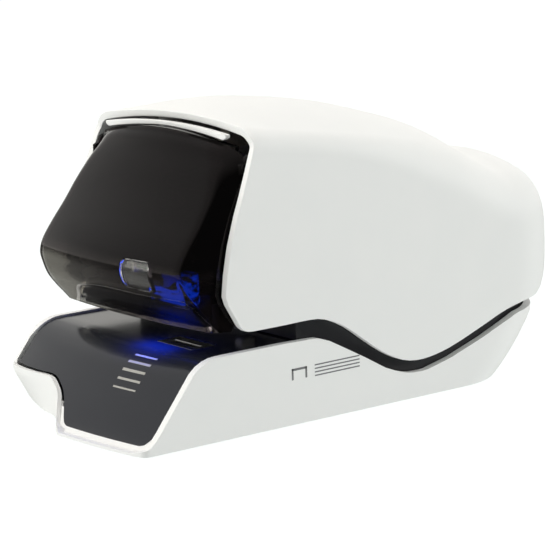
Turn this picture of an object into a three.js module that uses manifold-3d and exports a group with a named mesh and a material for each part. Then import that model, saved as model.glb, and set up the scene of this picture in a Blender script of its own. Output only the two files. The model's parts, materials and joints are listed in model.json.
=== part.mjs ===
// Electric desk stapler: a hinged smoked visor, a staple cassette behind it, and the motor, gears and cam
// that drive the blade.
// Millimetres. +X is the stapler's right side, +Y points from the paper throat to the rear, +Z is up.
import * as THREE from "three";
import { mergeVertices } from "three/addons/utils/BufferGeometryUtils.js";
import Module from "manifold-3d";

const wasm = await Module();
wasm.setup();

// ---------------------------------------------------------------- driving dimensions
const HALF_W = 44; // half of the overall width
const WALL = 2.4; // wall of the white housings
const GAP = 0.3; // smallest gap between two pieces
const FOOT_DROP = 1.8; // how far the rubber feet stand below the base
const FRONT_BOW = 3.8; // how far the front bows forward at the middle
const TAIL_END = 181.9; // rear of the top shell, counted from the base's front corner
const TAIL_R = 30; // rear corners in plan
const TAIL_TOP_R = 20; // rounding from the top into the rear wall
const DRAFT = 0.05; // how fast the shell's sides lean in above DRAFT_FROM
const DRAFT_FROM = 40;
const DECK_Z = 24.4; // flat of the paper deck
const DECK_HALF = 41.2; // half width of the deck plate
const THROAT_END = 59.3; // rear wall of the paper throat
const STAPLE_X = 19; // centre line of the staple path
const DRIVER_Y = 34.2; // plane of the driver blade
const VISOR_AXIS = { y: 46.5, z: 80 };
const MAIN_AXIS = { y: 82, z: 66 };
const PIVOT_AXIS = { y: 107, z: 59 };
const MOTOR_AXIS = { y: 127.5, z: 51 };
const MODULE_MM = 1; // gear module
const TEETH = { motor: 10, reductionLarge: 34, reductionSmall: 12, main: 40 };
const CAM_LOW = 6; // smallest radius of the drive cam
const CAM_RISE = 4.95; // rise of the drive cam over half a turn
const CENTRE_Y = (TAIL_END - FRONT_BOW) / 2; // puts the origin under the middle
const REAR_SPARE = 0.5; // how far SHELL_REAR's upper stations stand clear of the shell
const RIM_PROUD = 0.8; // how far the white rim stands above the deck
const BASE_SINK = -1.5; // height of the base's lower edge at the rear
const NOTCH_WALL = { x: 0.8, y: 1.2 }; // wall behind the cut-away at the left front corner
const PIN_R = 1.5; // hinge pins of the visor
const PIN_END = 41; // outer end of the hinge pins, blind in the shell's wall
const EAR = [37.5, 39.1]; // the visor's hinge ears, from the middle out
const EAR_R = 2.8; // radius of the visor's hinge ears
const VISOR_WALL = 2; // wall of the visor
const WINDOW = { x: [12, 25], z: [43, 52] }; // staple window in the visor
const INLET = { half: 7, bottom: 35, top: 47, face: 181.6 }; // power socket in the tail
const SENSOR = { x: [17.5, 20.5], z: [26.4, 29.4] }; // paper plunger's cross-section
const PLATES = { left: 1, right: 35.5, thickness: 1.5 }; // steel side plates
const TONGUE = { y: 41, z: 60.5, r: 2.4 }; // round end of the drive arm
const RODS = { left: 9, right: 29, y: 40.4, r: 1.25 }; // guide rods of the driver
const PRESS_FOOT_LEFT = -31; // left end of the press foot
const CASSETTE = { x0: 4.2, x1: 33.8, front: 33, step: 52.8, back: 77.4, travel: 8 };
const SHELL_POSTS = [[-26, 64], [-22, 151], [22, 151]]; // screw posts under the top shell, as [x, y]
const SCREWS = [[-22, 82], [22, 82], [-19, 126], [19, 126]]; // base screws, as [x, y]
const FEET = [
  ["front_left", -32, 26], ["front_right", 32, 24], ["rear_left", -31, 122], ["rear_right", 31, 122],
];

// Crest of the top shell along its middle, as [y, z].
const CREST = [
  [28, 84], [38, 89.4], [42, 91.3], [47, 93.6], [57, 95.3], [70, 95.3], [97, 92],
  [118, 87], [132.5, 82.4], [147.5, 74.2], [155, 70.8], [164.5, 70.4], [176, 71], [186, 70.4],
];
// Radius of the shoulder between the top and the sides, as [y, r].
const SHOULDER = [
  [28, 8], [48, 8], [60, 8], [83, 9], [103, 13], [124, 19], [140, 22], [152, 21], [165, 18], [186, 16],
];
// Drop of the top from its crest to the start of the shoulder, as [y, drop].
const CROWN = [
  [28, 1.6], [42, 1.8], [47, 3.4], [57, 6.6], [75, 8.5], [103, 8.5], [140, 6], [165, 5], [186, 5],
];
// Front rim of the top shell, from the top down, as [y, z].
const SHELL_RIM = [
  [45.4, 85.6], [44, 81.6], [40.8, 73.1], [37.2, 64.6], [34.2, 56], [32.1, 47.4], [31.3, 41.6],
  [32.3, 39.4], [36.1, 32.9], [37.6, 31.4], [39.6, 30.8],
];
// Lower edge of the top shell, front to rear, as [y, z].
const SHELL_EDGE = [
  [52, 30.7], [65.2, 30.7], [70.5, 29.4], [77.1, 26.2], [85.1, 20.6], [91, 16.6], [97, 13.4], [103, 11.5],
  [110.2, 11.2], [120.4, 13], [135.2, 17.8], [144, 20.9], [150, 22.4],
  [156, 23.3], [166, 23.6], [190, 23.8],
];
// Top edge of the base, rear to front, as [y, z].
const BASE_EDGE = [
  [185, 19.9], [160, 19.8], [151.5, 19.5], [145, 17.5], [135, 13.9], [120.3, 9.4], [109.4, 7.2],
  [102.9, 7.5], [97.9, 8.9], [92.4, 11.1], [84.7, 15.5], [76.2, 20], [69.5, 23.5], [65, 24.8], [52, 25.1],
];
// Top of the paper deck from its front edge to the flat, as [y, z].
const DECK_FRONT = [
  [3.3, 2], [5, 3.3], [6.8, 5.3], [9.8, 9.1], [13.6, 13.7], [16.6, 17.5], [19.2, 20.7], [21.2, 22.3],
  [23.2, 23.4], [26, 24.2], [29.1, DECK_Z],
];
// Rear ends of the base and of the chassis above it, as [z, y].
const BASE_REAR = [
  [-9, 157], [-1.2, 157.4], [0.2, 159.4], [4.9, 164.5], [7.9, 167.4], [13.3, 171.7], [18.1, 174.9],
  [19.4, 174.5], [40, 174.5],
];
const CHASSIS_REAR = [
  [-9, 158], [3, 158], [7.9, 163.8], [13.3, 168.3], [18.1, 171], [22.5, 171], [24.4, 173.6], [26.3, 176],
  [28.9, 177.6], [33, 178.5], [40, 178.9], [90, 178.9],
];
// Rear end of the top shell where it curls under the tail, as [z, y]; the crest's rounding decides above it.
const SHELL_REAR = [
  [-9, 171], [20, 171.5], [22.4, 173.2], [23.3, 175.3], [24.4, 177.8], [26.3, 179.8], [28.9, 181.2],
  [33, 182], [40, 182.4], [120, 182.4],
];
// Outline of the cut-away at the base's left front corner, as [x, y]: along the deck, then at floor level.
const NOTCH_TOP = [
  [-44, 10.8], [-37.2, 9.7], [-28.2, 8.8], [-20, 8.4], [-16.5, 8], [-12, 6.6], [-7.9, 4.9],
  [-4.4, 2.6], [0.1, -0.6], [3.7, -2.2], [6, -4.2],
];
const NOTCH_FLOOR = [
  [-44, 16.5], [-37.2, 13.8], [-30, 11.3], [-22.8, 9.2], [-16.7, 8.3], [-12, 6.3], [-8, 3.7],
  [-4.4, 1.4], [0.1, -1.5], [3.7, -3.2], [6, -4.4],
];

// ---------------------------------------------------------------- solids
const box = ([x0, x1], [y0, y1], [z0, z1]) => {
  const geometry = new THREE.BoxGeometry(x1 - x0, y1 - y0, z1 - z0);
  return solid(geometry.translate((x0 + x1) / 2, (y0 + y1) / 2, (z0 + z1) / 2));
};

// A closed geometry as a manifold solid.
function solid(geometry) {
  const bare = geometry.index ? geometry.toNonIndexed() : geometry;
  bare.deleteAttribute("normal");
  bare.deleteAttribute("uv");
  const merged = mergeVertices(bare, 1e-4);
  const vertProperties = new Float32Array(merged.attributes.position.array);
  const triVerts = new Uint32Array(merged.index.array);
  return new wasm.Manifold(new wasm.Mesh({ numProp: 3, vertProperties, triVerts }));
}

const join = (first, ...rest) => rest.reduce((sum, part) => sum.add(part), first);
const cut = (body, ...tools) => tools.reduce((left, tool) => left.subtract(tool), body);

// A manifold solid as a named mesh.
function part(name, body, material) {
  const mesh = body.getMesh();
  const geometry = new THREE.BufferGeometry();
  geometry.setAttribute("position", new THREE.BufferAttribute(new Float32Array(mesh.vertProperties), 3));
  geometry.setIndex(new THREE.BufferAttribute(new Uint32Array(mesh.triVerts), 1));
  geometry.computeVertexNormals();
  const made = new THREE.Mesh(geometry, material);
  made.name = name;
  stapler.add(made);
  return made;
}

// A rod between two ends along "x", "y" or "z"; a and b are its centre on the two other axes, in order.
function rod(axis, radius, [from, to], [a, b], sides = 20) {
  const geometry = new THREE.CylinderGeometry(radius, radius, to - from, sides);
  const middle = (from + to) / 2;
  if (axis === "x") {
    geometry.rotateZ(Math.PI / 2);
    geometry.translate(middle, a, b);
  } else if (axis === "y") {
    geometry.translate(a, middle, b);
  } else {
    geometry.rotateX(Math.PI / 2);
    geometry.translate(a, b, middle);
  }
  return solid(geometry);
}

// An outline of [y, z] points pushed along X.
function prismX(points, [from, to], holes = []) {
  const shape = new THREE.Shape(points.map(([y, z]) => new THREE.Vector2(y, z)));
  shape.holes = holes.map((hole) => new THREE.Path(hole.map(([y, z]) => new THREE.Vector2(y, z))));
  const geometry = new THREE.ExtrudeGeometry(shape, { depth: to - from, bevelEnabled: false });
  const turn = new THREE.Matrix4().set(0, 0, 1, from, 1, 0, 0, 0, 0, 1, 0, 0, 0, 0, 0, 1);
  return solid(geometry.applyMatrix4(turn));
}

// An outline of [x, y] points pushed along Z.
function prismZ(points, [from, to]) {
  const shape = new THREE.Shape(points.map(([x, y]) => new THREE.Vector2(x, y)));
  const geometry = new THREE.ExtrudeGeometry(shape, { depth: to - from, bevelEnabled: false });
  return solid(geometry.translate(0, 0, from));
}

// A closed skin through rings of equal length; flat outlines of the first and last ring close its ends.
function loft(rings, outlineOf) {
  const count = rings[0].length;
  const points = rings.flat();
  const faces = [];
  for (let r = 0; r + 1 < rings.length; r++) {
    for (let i = 0; i < count; i++) {
      const a = r * count + i;
      const b = r * count + ((i + 1) % count);
      faces.push([a, b, b + count], [a, b + count, a + count]);
    }
  }
  const last = (rings.length - 1) * count;
  faces.push(...endFaces(rings[0].map(outlineOf)).map(([a, b, c]) => [a, c, b]));
  faces.push(...endFaces(rings[rings.length - 1].map(outlineOf)).map((face) => face.map((i) => i + last)));
  const made = (turned) => {
    const geometry = new THREE.BufferGeometry();
    geometry.setAttribute("position", new THREE.Float32BufferAttribute(points.flat(), 3));
    geometry.setIndex(faces.map(([a, b, c]) => (turned ? [a, c, b] : [a, b, c])).flat());
    return solid(geometry);
  };
  const first = made(false);
  return first.volume() > 0 ? first : made(true);
}

// Triangles that fill a flat outline, wound the way its points run.
function endFaces(outline) {
  const area = THREE.ShapeUtils.area(outline);
  return THREE.ShapeUtils.triangulateShape(outline, []).map(([a, b, c]) => {
    const same = THREE.ShapeUtils.area([outline[a], outline[b], outline[c]]) * area > 0;
    return same ? [a, b, c] : [a, c, b];
  });
}

// Value at t of a smooth curve through [t, value] knots.
function along(knots, t) {
  const last = knots.length - 1;
  if (t <= knots[0][0]) return knots[0][1];
  if (t >= knots[last][0]) return knots[last][1];
  const i = knots.findIndex((knot) => knot[0] > t) - 1;
  const slope = (k) => {
    const before = knots[Math.max(k - 1, 0)];
    const after = knots[Math.min(k + 1, last)];
    return (after[1] - before[1]) / (after[0] - before[0]);
  };
  const [[t0, v0], [t1, v1]] = [knots[i], knots[i + 1]];
  const h = t1 - t0;
  const s = (t - t0) / h;
  const [s2, s3] = [s * s, s * s * s];
  const ends = (2 * s3 - 3 * s2 + 1) * v0 + (3 * s2 - 2 * s3) * v1;
  return ends + h * ((s3 - 2 * s2 + s) * slope(i) + (s3 - s2) * slope(i + 1));
}

// How far a quarter-round of radius r has drawn in at a distance d past its start.
const drawIn = (r, d) => (d <= 0 ? 0 : r - Math.sqrt(Math.max(r * r - Math.min(d, r) ** 2, 0)));

// ---------------------------------------------------------------- top shell
// One cross-section of the top shell's skin at y, drawn in by inset; a closed ring from right to left.
function shellRing(y, inset) {
  const end = TAIL_END - inset;
  const planR = TAIL_R - inset;
  const topR = TAIL_TOP_R - inset;
  const w = HALF_W - inset - drawIn(planR, y - (end - planR));
  const crest = along(CREST, y) - inset - drawIn(topR, y - (end - topR));
  const r = Math.min(Math.max(along(SHOULDER, y) - inset, 2.6), w - 2);
  const crown = along(CROWN, y) * Math.min(1, w / 30);
  let lean = Math.atan(crown * 2 / w);
  for (let i = 0; i < 3; i++) lean = Math.atan((2 * crown) / (w - r + r * Math.sin(lean)));
  const arcZ = crest - crown - r * Math.cos(lean);
  const draft = Math.atan(DRAFT);
  const knee = Math.min(DRAFT_FROM, arcZ - 4);
  const arcX = w - r * Math.cos(draft) - DRAFT * (arcZ + r * Math.sin(draft) - knee);
  const joinX = arcX + r * Math.sin(lean);
  const right = [[w, y, 0], [w, y, knee]];
  const arcSteps = 5;
  for (let i = 0; i <= arcSteps; i++) {
    const a = draft + ((Math.PI / 2 - lean - draft) * i) / arcSteps;
    right.push([arcX + r * Math.cos(a), y, arcZ + r * Math.sin(a)]);
  }
  const crownSteps = 3;
  for (let i = 1; i < crownSteps; i++) {
    const x = joinX * (1 - i / crownSteps);
    right.push([x, y, crest - crown * (x / joinX) ** 2]);
  }
  const left = right.map(([x, yy, z]) => [-x, yy, z]).reverse();
  return [...right, [0, y, crest], ...left];
}

function shellBody(inset, front) {
  const end = TAIL_END - inset;
  const stations = [front, 36, 40, 44, 48, 53, 60, 70, 85, 100, 115, 128, 140, 150, 157, 163];
  const cornerSteps = [0.55, 0.38, 0.24, 0.13, 0.05, 0.01, 0];
  stations.push(...cornerSteps.map((step) => end - TAIL_R * 1.08 * step));
  const rings = stations.map((y) => shellRing(Math.min(y, end), inset));
  const under = tailBody(SHELL_REAR, HALF_W + REAR_SPARE - inset, TAIL_R + REAR_SPARE - inset, inset);
  return loft(rings, ([x, , z]) => new THREE.Vector2(x, z)).intersect(under);
}

// Everything in front of the rim and below the lower edge of the top shell.
const belowShell = (drop) => [
  [-20, 120], [42, 120], ...SHELL_RIM, ...SHELL_EDGE.map(([y, z]) => [y, z + drop]), [190, -10], [-20, -10],
];

const inletCut = (clear) =>
  box([-INLET.half - clear, INLET.half + clear], [170, 190], [INLET.bottom - clear, INLET.top + clear]);

function topShell() {
  const hollow = shellBody(WALL, 26);
  const shell = cut(shellBody(0, 28), hollow, prismX(belowShell(0), [-60, 60]), inletCut(GAP));
  const posts = SHELL_POSTS.map(([x, y]) =>
    cut(rod("z", 4, [34, 90], [x, y], 10), rod("z", 1.3, [30, 46], [x, y], 8)),
  );
  const sockets = rod("x", PIN_R + GAP, [-PIN_END - GAP, PIN_END + GAP], [VISOR_AXIS.y, VISOR_AXIS.z], 16);
  return join(cut(shell, sockets), ...posts.map((post) => post.intersect(shellBody(WALL - 0.2, 26))));
}

// ---------------------------------------------------------------- base
// A skin across X from a [y, z] outline whose front bows forward at the middle.
function bowedBody(outline, half, bowEnd = 30) {
  const rings = [-1, -0.8, -0.6, -0.4, -0.2, 0, 0.2, 0.4, 0.6, 0.8, 1].map((share) => {
    const bow = FRONT_BOW * (1 - (share * half / HALF_W) ** 2);
    const fade = (y) => Math.min(1, Math.max(0, (bowEnd - y) / 12));
    return outline.map(([y, z]) => [share * half, y - bow * fade(y), z]);
  });
  return loft(rings, ([, y, z]) => new THREE.Vector2(y, z));
}

// A body with rear corners rounded in plan, whose rear end follows [z, y] stations, drawn in by inset.
function tailBody(stations, half, radius, inset = 0) {
  const corner = [0, 15, 30, 45, 60, 75, 90].map((degrees) => THREE.MathUtils.degToRad(degrees));
  const rings = stations.map(([z, end]) => {
    const right = corner.map((a) => [
      half - radius + radius * Math.cos(a), end - inset - radius + radius * Math.sin(a), z,
    ]);
    return [[-half, -30, z], [half, -30, z], ...right, ...right.map(([x, y]) => [-x, y, z]).reverse()];
  });
  return loft(rings, ([x, y]) => new THREE.Vector2(x, y));
}

// The cut-away at the left front corner, moved by (dx, dy).
function notch(dx, dy) {
  const outline = (points, z) => {
    const moved = [[-60, points[0][1]], ...points].map(([x, y]) => [x + dx, y + dy, z]);
    return [[-60 + dx, -20, z], ...moved, [6 + dx, -20, z]];
  };
  const rings = [
    outline(NOTCH_FLOOR, -1), outline(NOTCH_FLOOR, 0), outline(NOTCH_TOP, 9.5), outline(NOTCH_TOP, 40),
  ];
  return loft(rings, ([x, y]) => new THREE.Vector2(x, y));
}

function baseHousing() {
  const rimFront = DECK_FRONT.map(([y, z]) => [y - 0.6 * RIM_PROUD, z + 0.75 * RIM_PROUD]).slice(1);
  const side = [[0, 0], [0.3, 1.6], [2.6, 2.3], ...rimFront, ...[...BASE_EDGE].reverse(), [185, BASE_SINK]];
  const outer = bowedBody(side, HALF_W).intersect(tailBody(BASE_REAR, HALF_W, TAIL_R));
  const inside = bowedBody([[3, -5], [3, 60], [190, 60], [190, -5]], HALF_W - WALL);
  const hollow = inside.intersect(tailBody(BASE_REAR, HALF_W - WALL, TAIL_R - WALL, WALL));
  return cut(outer, notch(0, 0), cut(hollow, notch(NOTCH_WALL.x, NOTCH_WALL.y)));
}

function deckPlate() {
  const under = DECK_FRONT.map(([y, z]) => [y + 1.5, z - 1.5]).reverse();
  const rear = [
    [THROAT_END - GAP, DECK_Z], [THROAT_END - GAP, DECK_Z - 0.8], [60.8, DECK_Z - 0.8], [60.8, DECK_Z - 2],
  ];
  const outline = [...DECK_FRONT, ...rear, [30.4, DECK_Z - 2], ...under.slice(1, -1), [5, 1]];
  const plate = bowedBody(outline, DECK_HALF);
  const belowLip = box([-60, 60], [-10, 60], [-5, 1]);
  const trimmed = cut(plate, notch(NOTCH_WALL.x + GAP, NOTCH_WALL.y + GAP), belowLip);
  return cut(trimmed, box([STAPLE_X - 9 - GAP, STAPLE_X + 9 + GAP], [30 - GAP, 39 + GAP], [10, 30]));
}

function bottomPlate() {
  const sheet = bowedBody([[7.4, GAP], [7.4, 2.2], [160, 2.2], [160, GAP]], 41.2);
  const screwHole = (spot) => join(rod("z", 1.7, [-1, 3], spot, 12), rod("z", 3.5, [-1, 1.2], spot, 12));
  const holes = SCREWS.map(screwHole);
  const rounded = sheet.intersect(tailBody(BASE_REAR, 41.2, TAIL_R - WALL - GAP, WALL + 0.5));
  const plate = cut(rounded, notch(NOTCH_WALL.x + 0.5, NOTCH_WALL.y + 0.5), ...holes);
  const ribs = [44, 54].map((y) => box([-38, 38], [y, y + 1.2], [2, 5.6]));
  return join(plate, ...ribs);
}

const baseScrew = ([x, y]) =>
  join(rod("z", 3.1, [GAP + 0.1, 0.95], [x, y], 12), rod("z", 1.35, [0.5, 12], [x, y], 10));

// ---------------------------------------------------------------- anvil and clincher
function anvilPlate() {
  const plate = box([STAPLE_X - 9, STAPLE_X + 9], [30, 39], [DECK_Z - 1.4, DECK_Z]);
  return cut(plate, box([STAPLE_X - 7, STAPLE_X + 7], [DRIVER_Y - 1.3, DRIVER_Y + 1.3], [20, 30]));
}

function clincherBlock() {
  const block = box([STAPLE_X - 10, STAPLE_X + 10], [29, 40], [2.6, 22]);
  const pocket = box([STAPLE_X - 7.3, STAPLE_X + 7.3], [DRIVER_Y - 1.4, DRIVER_Y + 1.4], [16.5, 30]);
  const pins = [-5.4, 5.4].map((dx) => rod("y", 0.95, [30, 38.5], [STAPLE_X + dx, 19.3], 12));
  return cut(block, pocket, ...pins);
}

// A folding wing with its pin; side is -1 for the left wing and 1 for the right one.
function clincherWing(side) {
  const inner = STAPLE_X + side * 0.4;
  const outer = STAPLE_X + side * 6.6;
  const span = [Math.min(inner, outer), Math.max(inner, outer)];
  const blade = box(span, [DRIVER_Y - 1, DRIVER_Y + 1], [18.5, 21]);
  return join(blade, rod("y", 0.65, [30.6, 38], [STAPLE_X + side * 5.4, 19.3], 10));
}

const anvilBeam = () => cut(box([STAPLE_X - 8, STAPLE_X + 8], [40.4, 61.2], [6.4, 13]),
  box([STAPLE_X - 6, STAPLE_X + 6], [39, 62], [8.2, 20]));

// ---------------------------------------------------------------- chassis
function chassis() {
  const outer = [
    [THROAT_END, 33.5], [THROAT_END, DECK_Z + 0.4], [61.6, DECK_Z + 0.4], [61.6, 5], [190, 5], [190, 80],
    [70, 80], [61.2, 33.5],
  ];
  const inner = [[61.2, 90], [61.2, 26.9], [63.6, 26.9], [63.6, 7], [190, 7], [190, 90]];
  const wall = 1.8;
  const tubR = TAIL_R - WALL - GAP;
  const outside = bowedBody(outer, DECK_HALF).intersect(tailBody(CHASSIS_REAR, DECK_HALF, tubR));
  const raised = CHASSIS_REAR.map(([z, y]) => [z + (z > 24 ? wall : 0), y]);
  const innerTail = tailBody(raised, DECK_HALF - wall, tubR - wall, wall);
  const inside = bowedBody(inner, DECK_HALF - wall).intersect(innerTail);
  const edge = SHELL_EDGE.map(([y, z]) => [y, z + 3.4]);
  const above = prismX([[40, 33.5], [62, 33.5], ...edge.slice(1), [190, 120], [40, 120]], [-60, 60]);
  const shelfSpans = [[-DECK_HALF, PRESS_FOOT_LEFT - 2 * GAP], [38.6, DECK_HALF]];
  const shelf = shelfSpans.map((span) => box(span, [38, 60.5], [31.3, 33.1]));
  const bosses = SCREWS.map(([x, y]) => rod("z", 4, [6, 16], [x, y], 10));
  const pillars = SHELL_POSTS.map(([x, y]) => rod("z", 4, [y > 100 ? 6.5 : 25, 33.6], [x, y], 10));
  const holes = [
    ...SCREWS.map(([x, y]) => rod("z", 1.65, [0, 14], [x, y], 10)),
    ...SHELL_POSTS.map(([x, y]) => rod("z", 1.65, [26, 40], [x, y], 10)),
  ];
  const clear = 0.4;
  const sensorHole = box(
    [SENSOR.x[0] - clear, SENSOR.x[1] + clear], [58, 65], [SENSOR.z[0] - clear, SENSOR.z[1] + clear],
  );
  const tub = cut(outside, inside, above);
  return cut(join(tub, ...shelf, ...bosses, ...pillars), ...holes, sensorHole, inletCut(GAP));
}

// The steel side plates that carry the shafts.
function framePlate(x, thickness, footSide, extraNose) {
  const nose = extraNose ? [[28.6, 44.4], [28.6, 50.4], [37.5, 53]] : [[37.5, 44.4]];
  const outline = [
    ...nose, [37.5, 62], [42, 72.5], [47, 72.5], [58, 74], [70, 79.3], [93, 79.3], [114, 69], [134, 61],
    [146, 52], [146, 36], [138, 34], [138, 7.5], [128, 7.5], [122, 32], [100, 52], [92, 52], [84, 40],
    [84, 7.5], [79.5, 7.5], [79.5, 58], [66, 58], [56, 55], [40, 55], [40, 44.4],
  ].reverse();
  const span = [x, x + thickness];
  const holes = [[MAIN_AXIS, 3.4], [PIVOT_AXIS, 2.8], [MOTOR_AXIS, 3.4]].map(([axis, r]) =>
    rod("x", r, [x - 1, x + thickness + 1], [axis.y, axis.z], 24),
  );
  const footSpan = footSide > 0 ? [x, x + 6] : [x - 4.5, x + thickness];
  const feet = [[79.5, 84], [128, 138]].map((stretch) => box(footSpan, stretch, [7.5, 9]));
  return cut(join(prismX(outline, span), ...feet), ...holes);
}

const tieBar = (y, z) => rod("x", 2.2, [PLATES.left + 1.8, PLATES.right - GAP], [y, z], 14);

// ---------------------------------------------------------------- gears and shafts
// Outline of a spur gear around [y, z]; phase is in teeth.
function gearOutline(teeth, axis, phase) {
  const pitchR = (teeth * MODULE_MM) / 2;
  const rootR = pitchR - 1.2 * MODULE_MM;
  const tipR = pitchR + 0.8 * MODULE_MM;
  const points = [];
  for (let i = 0; i < teeth; i++) {
    for (const [r, at] of [[rootR, -0.3], [tipR, -0.13], [tipR, 0.13], [rootR, 0.3]]) {
      const a = ((i + phase + at) * 2 * Math.PI) / teeth;
      points.push([axis.y + r * Math.cos(a), axis.z + r * Math.sin(a)]);
    }
  }
  return points;
}

const directionOf = (from, to) => Math.atan2(to.z - from.z, to.y - from.y) / (2 * Math.PI);

// Phases that put a tooth of one gear into a space of the next.
const PHASE = {
  main: TEETH.main * directionOf(MAIN_AXIS, PIVOT_AXIS),
  reductionSmall: TEETH.reductionSmall * directionOf(PIVOT_AXIS, MAIN_AXIS) + 0.5,
  reductionLarge: TEETH.reductionLarge * directionOf(PIVOT_AXIS, MOTOR_AXIS),
  motor: TEETH.motor * directionOf(MOTOR_AXIS, PIVOT_AXIS) + 0.5,
};
const gear = (teeth, axis, span, phase) => prismX(gearOutline(teeth, axis, phase), span);

function mainGear() {
  const wheel = join(
    gear(TEETH.main, MAIN_AXIS, [-9.5, -5.5], PHASE.main),
    rod("x", 6, [-10.5, -0.2], [MAIN_AXIS.y, MAIN_AXIS.z], 20),
  );
  const windows = [0, 1, 2, 3, 4].map((i) => {
    const a = (i * 2 * Math.PI) / 5;
    return rod("x", 4, [-12, -3], [MAIN_AXIS.y + 11.5 * Math.cos(a), MAIN_AXIS.z + 11.5 * Math.sin(a)], 12);
  });
  return cut(wheel, ...windows, rod("x", 3.3, [-12, 2], [MAIN_AXIS.y, MAIN_AXIS.z], 16));
}

const reductionGear = () => cut(
  join(
    gear(TEETH.reductionLarge, PIVOT_AXIS, [-4.6, -1.2], PHASE.reductionLarge),
    gear(TEETH.reductionSmall, PIVOT_AXIS, [-10, -4], PHASE.reductionSmall),
  ),
  rod("x", 2.6, [-12, 0], [PIVOT_AXIS.y, PIVOT_AXIS.z], 16),
);

const motorPinion = () => join(
  gear(TEETH.motor, MOTOR_AXIS, [-4.8, -0.6], PHASE.motor),
  rod("x", 1.6, [-5.4, 3.4], [MOTOR_AXIS.y, MOTOR_AXIS.z], 14),
);

const motorBody = () => cut(
  join(
    rod("x", 13.4, [4.2, 33.6], [MOTOR_AXIS.y, MOTOR_AXIS.z], 28),
    rod("x", 5, [3, 35], [MOTOR_AXIS.y, MOTOR_AXIS.z], 18),
  ),
  rod("x", 2, [0, 12], [MOTOR_AXIS.y, MOTOR_AXIS.z], 14),
);

const mainShaft = () => rod("x", 3, [-11.5, 38.2], [MAIN_AXIS.y, MAIN_AXIS.z], 20);
const pivotShaft = () => rod("x", 2.3, [-11, 37.6], [PIVOT_AXIS.y, PIVOT_AXIS.z], 16);

// Cam whose radius rises evenly over half a turn and falls back evenly over the other half.
function driveCam() {
  const steps = 48;
  const points = [];
  for (let i = 0; i < steps; i++) {
    const turn = i / steps;
    const radius = CAM_LOW + CAM_RISE * (turn < 0.5 ? 2 * turn : 2 - 2 * turn);
    const a = 2 * Math.PI * turn - Math.PI / 2;
    points.push([MAIN_AXIS.y + radius * Math.cos(a), MAIN_AXIS.z + radius * Math.sin(a)]);
  }
  return cut(prismX(points, [14.5, 23.5]), rod("x", 3.3, [10, 30], [MAIN_AXIS.y, MAIN_AXIS.z], 16));
}

// ---------------------------------------------------------------- stapling head
// Lever that swings on the pivot shaft: the cam presses its pad down and its tongue carries the driver.
function driveArm() {
  const padTop = MAIN_AXIS.z - CAM_LOW - 0.5;
  const outline = [
    [113, 59], [111, 64], [105, 64.4], [98, 58], [92, padTop - 0.6], [86, padTop], [76, padTop],
    [72.5, padTop + 0.6], [70, 62.6], [46, 62.6], [TONGUE.y + 1, TONGUE.z + 1.9],
    [TONGUE.y, TONGUE.z - 2], [48, 58.9], [62, 58.9],
    [74, 55.4], [90, 53.4], [104, 52.4], [110, 54.4],
  ].reverse();
  const beam = join(prismX(outline, [14, 24]), rod("x", TONGUE.r, [14, 24], [TONGUE.y, TONGUE.z], 16));
  const hub = rod("x", 5.5, [11, 27], [PIVOT_AXIS.y, PIVOT_AXIS.z], 20);
  const window = box([16.5, 21.5], [50, 66], [50, 70]);
  return cut(join(beam, hub), rod("x", 2.6, [8, 30], [PIVOT_AXIS.y, PIVOT_AXIS.z], 16), window);
}

function driverCarriage() {
  const block = box([5.6, 32.4], [35, 42.4], [55, 63.4]);
  const slot = box([13.4, 24.6], [37.6, 50], [57.7, 63.3]);
  const holes = [RODS.left, RODS.right].map((x) => rod("z", RODS.r + 0.35, [50, 70], [x, RODS.y], 14));
  return cut(block, slot, ...holes);
}

const driverBlade = () => join(
  box([STAPLE_X - 6.2, STAPLE_X + 6.2], [DRIVER_Y - 0.4, DRIVER_Y + 0.4], [42, 57]),
  box([STAPLE_X - 9, STAPLE_X + 9], [DRIVER_Y - 0.4, DRIVER_Y + 0.4], [56, 62.5]),
);

function headBridge() {
  const plate = box([2.8, 35.2], [38.5, 46], [70, 72.2]);
  return cut(plate, ...[RODS.left, RODS.right].map((x) => rod("z", RODS.r + GAP, [60, 80], [x, RODS.y], 14)));
}

const guideRod = (x) => rod("z", RODS.r, [44.2, 72.2], [x, RODS.y], 14);

// Wire wound round a vertical line.
function spring(x, y, [from, to], radius, wire, turns) {
  const steps = turns * 8;
  const line = Array.from({ length: steps + 1 }, (_, i) => {
    const a = (i * Math.PI) / 4;
    const z = from + ((to - from) * i) / steps;
    return new THREE.Vector3(x + radius * Math.cos(a), y + radius * Math.sin(a), z);
  });
  const sides = 5;
  const section = Array.from({ length: sides }, (_, i) => {
    const a = (i * 2 * Math.PI) / sides;
    return new THREE.Vector2(wire * Math.cos(a), wire * Math.sin(a));
  });
  const extrudePath = new THREE.CatmullRomCurve3(line);
  const settings = { steps, extrudePath, bevelEnabled: false };
  return solid(new THREE.ExtrudeGeometry(new THREE.Shape(section), settings));
}

// Press foot: the floor of the head, with a staple slot, and a cover block at its left.
function pressFoot() {
  const left = PRESS_FOOT_LEFT;
  const floor = box([left, 38], [32.6, 50], [31.4, 33.2]);
  const cover = box([left, 0.4], [32.6, 44], [33, 38.8]);
  const roundOff = box([left - 1, left + 3], [30, 50], [35.8, 45]);
  const corner = rod("y", 3, [32.6, 44], [left + 3, 35.8], 20);
  const cheek = box([34.6, 38], [32.6, 48], [33, 38.8]);
  const slot = box([STAPLE_X - 6.6, STAPLE_X + 6.6], [DRIVER_Y - 0.8, DRIVER_Y + 0.8], [30, 35]);
  const rounded = join(cut(cover, roundOff), corner);
  return cut(join(floor, rounded, cheek), slot);
}

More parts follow.
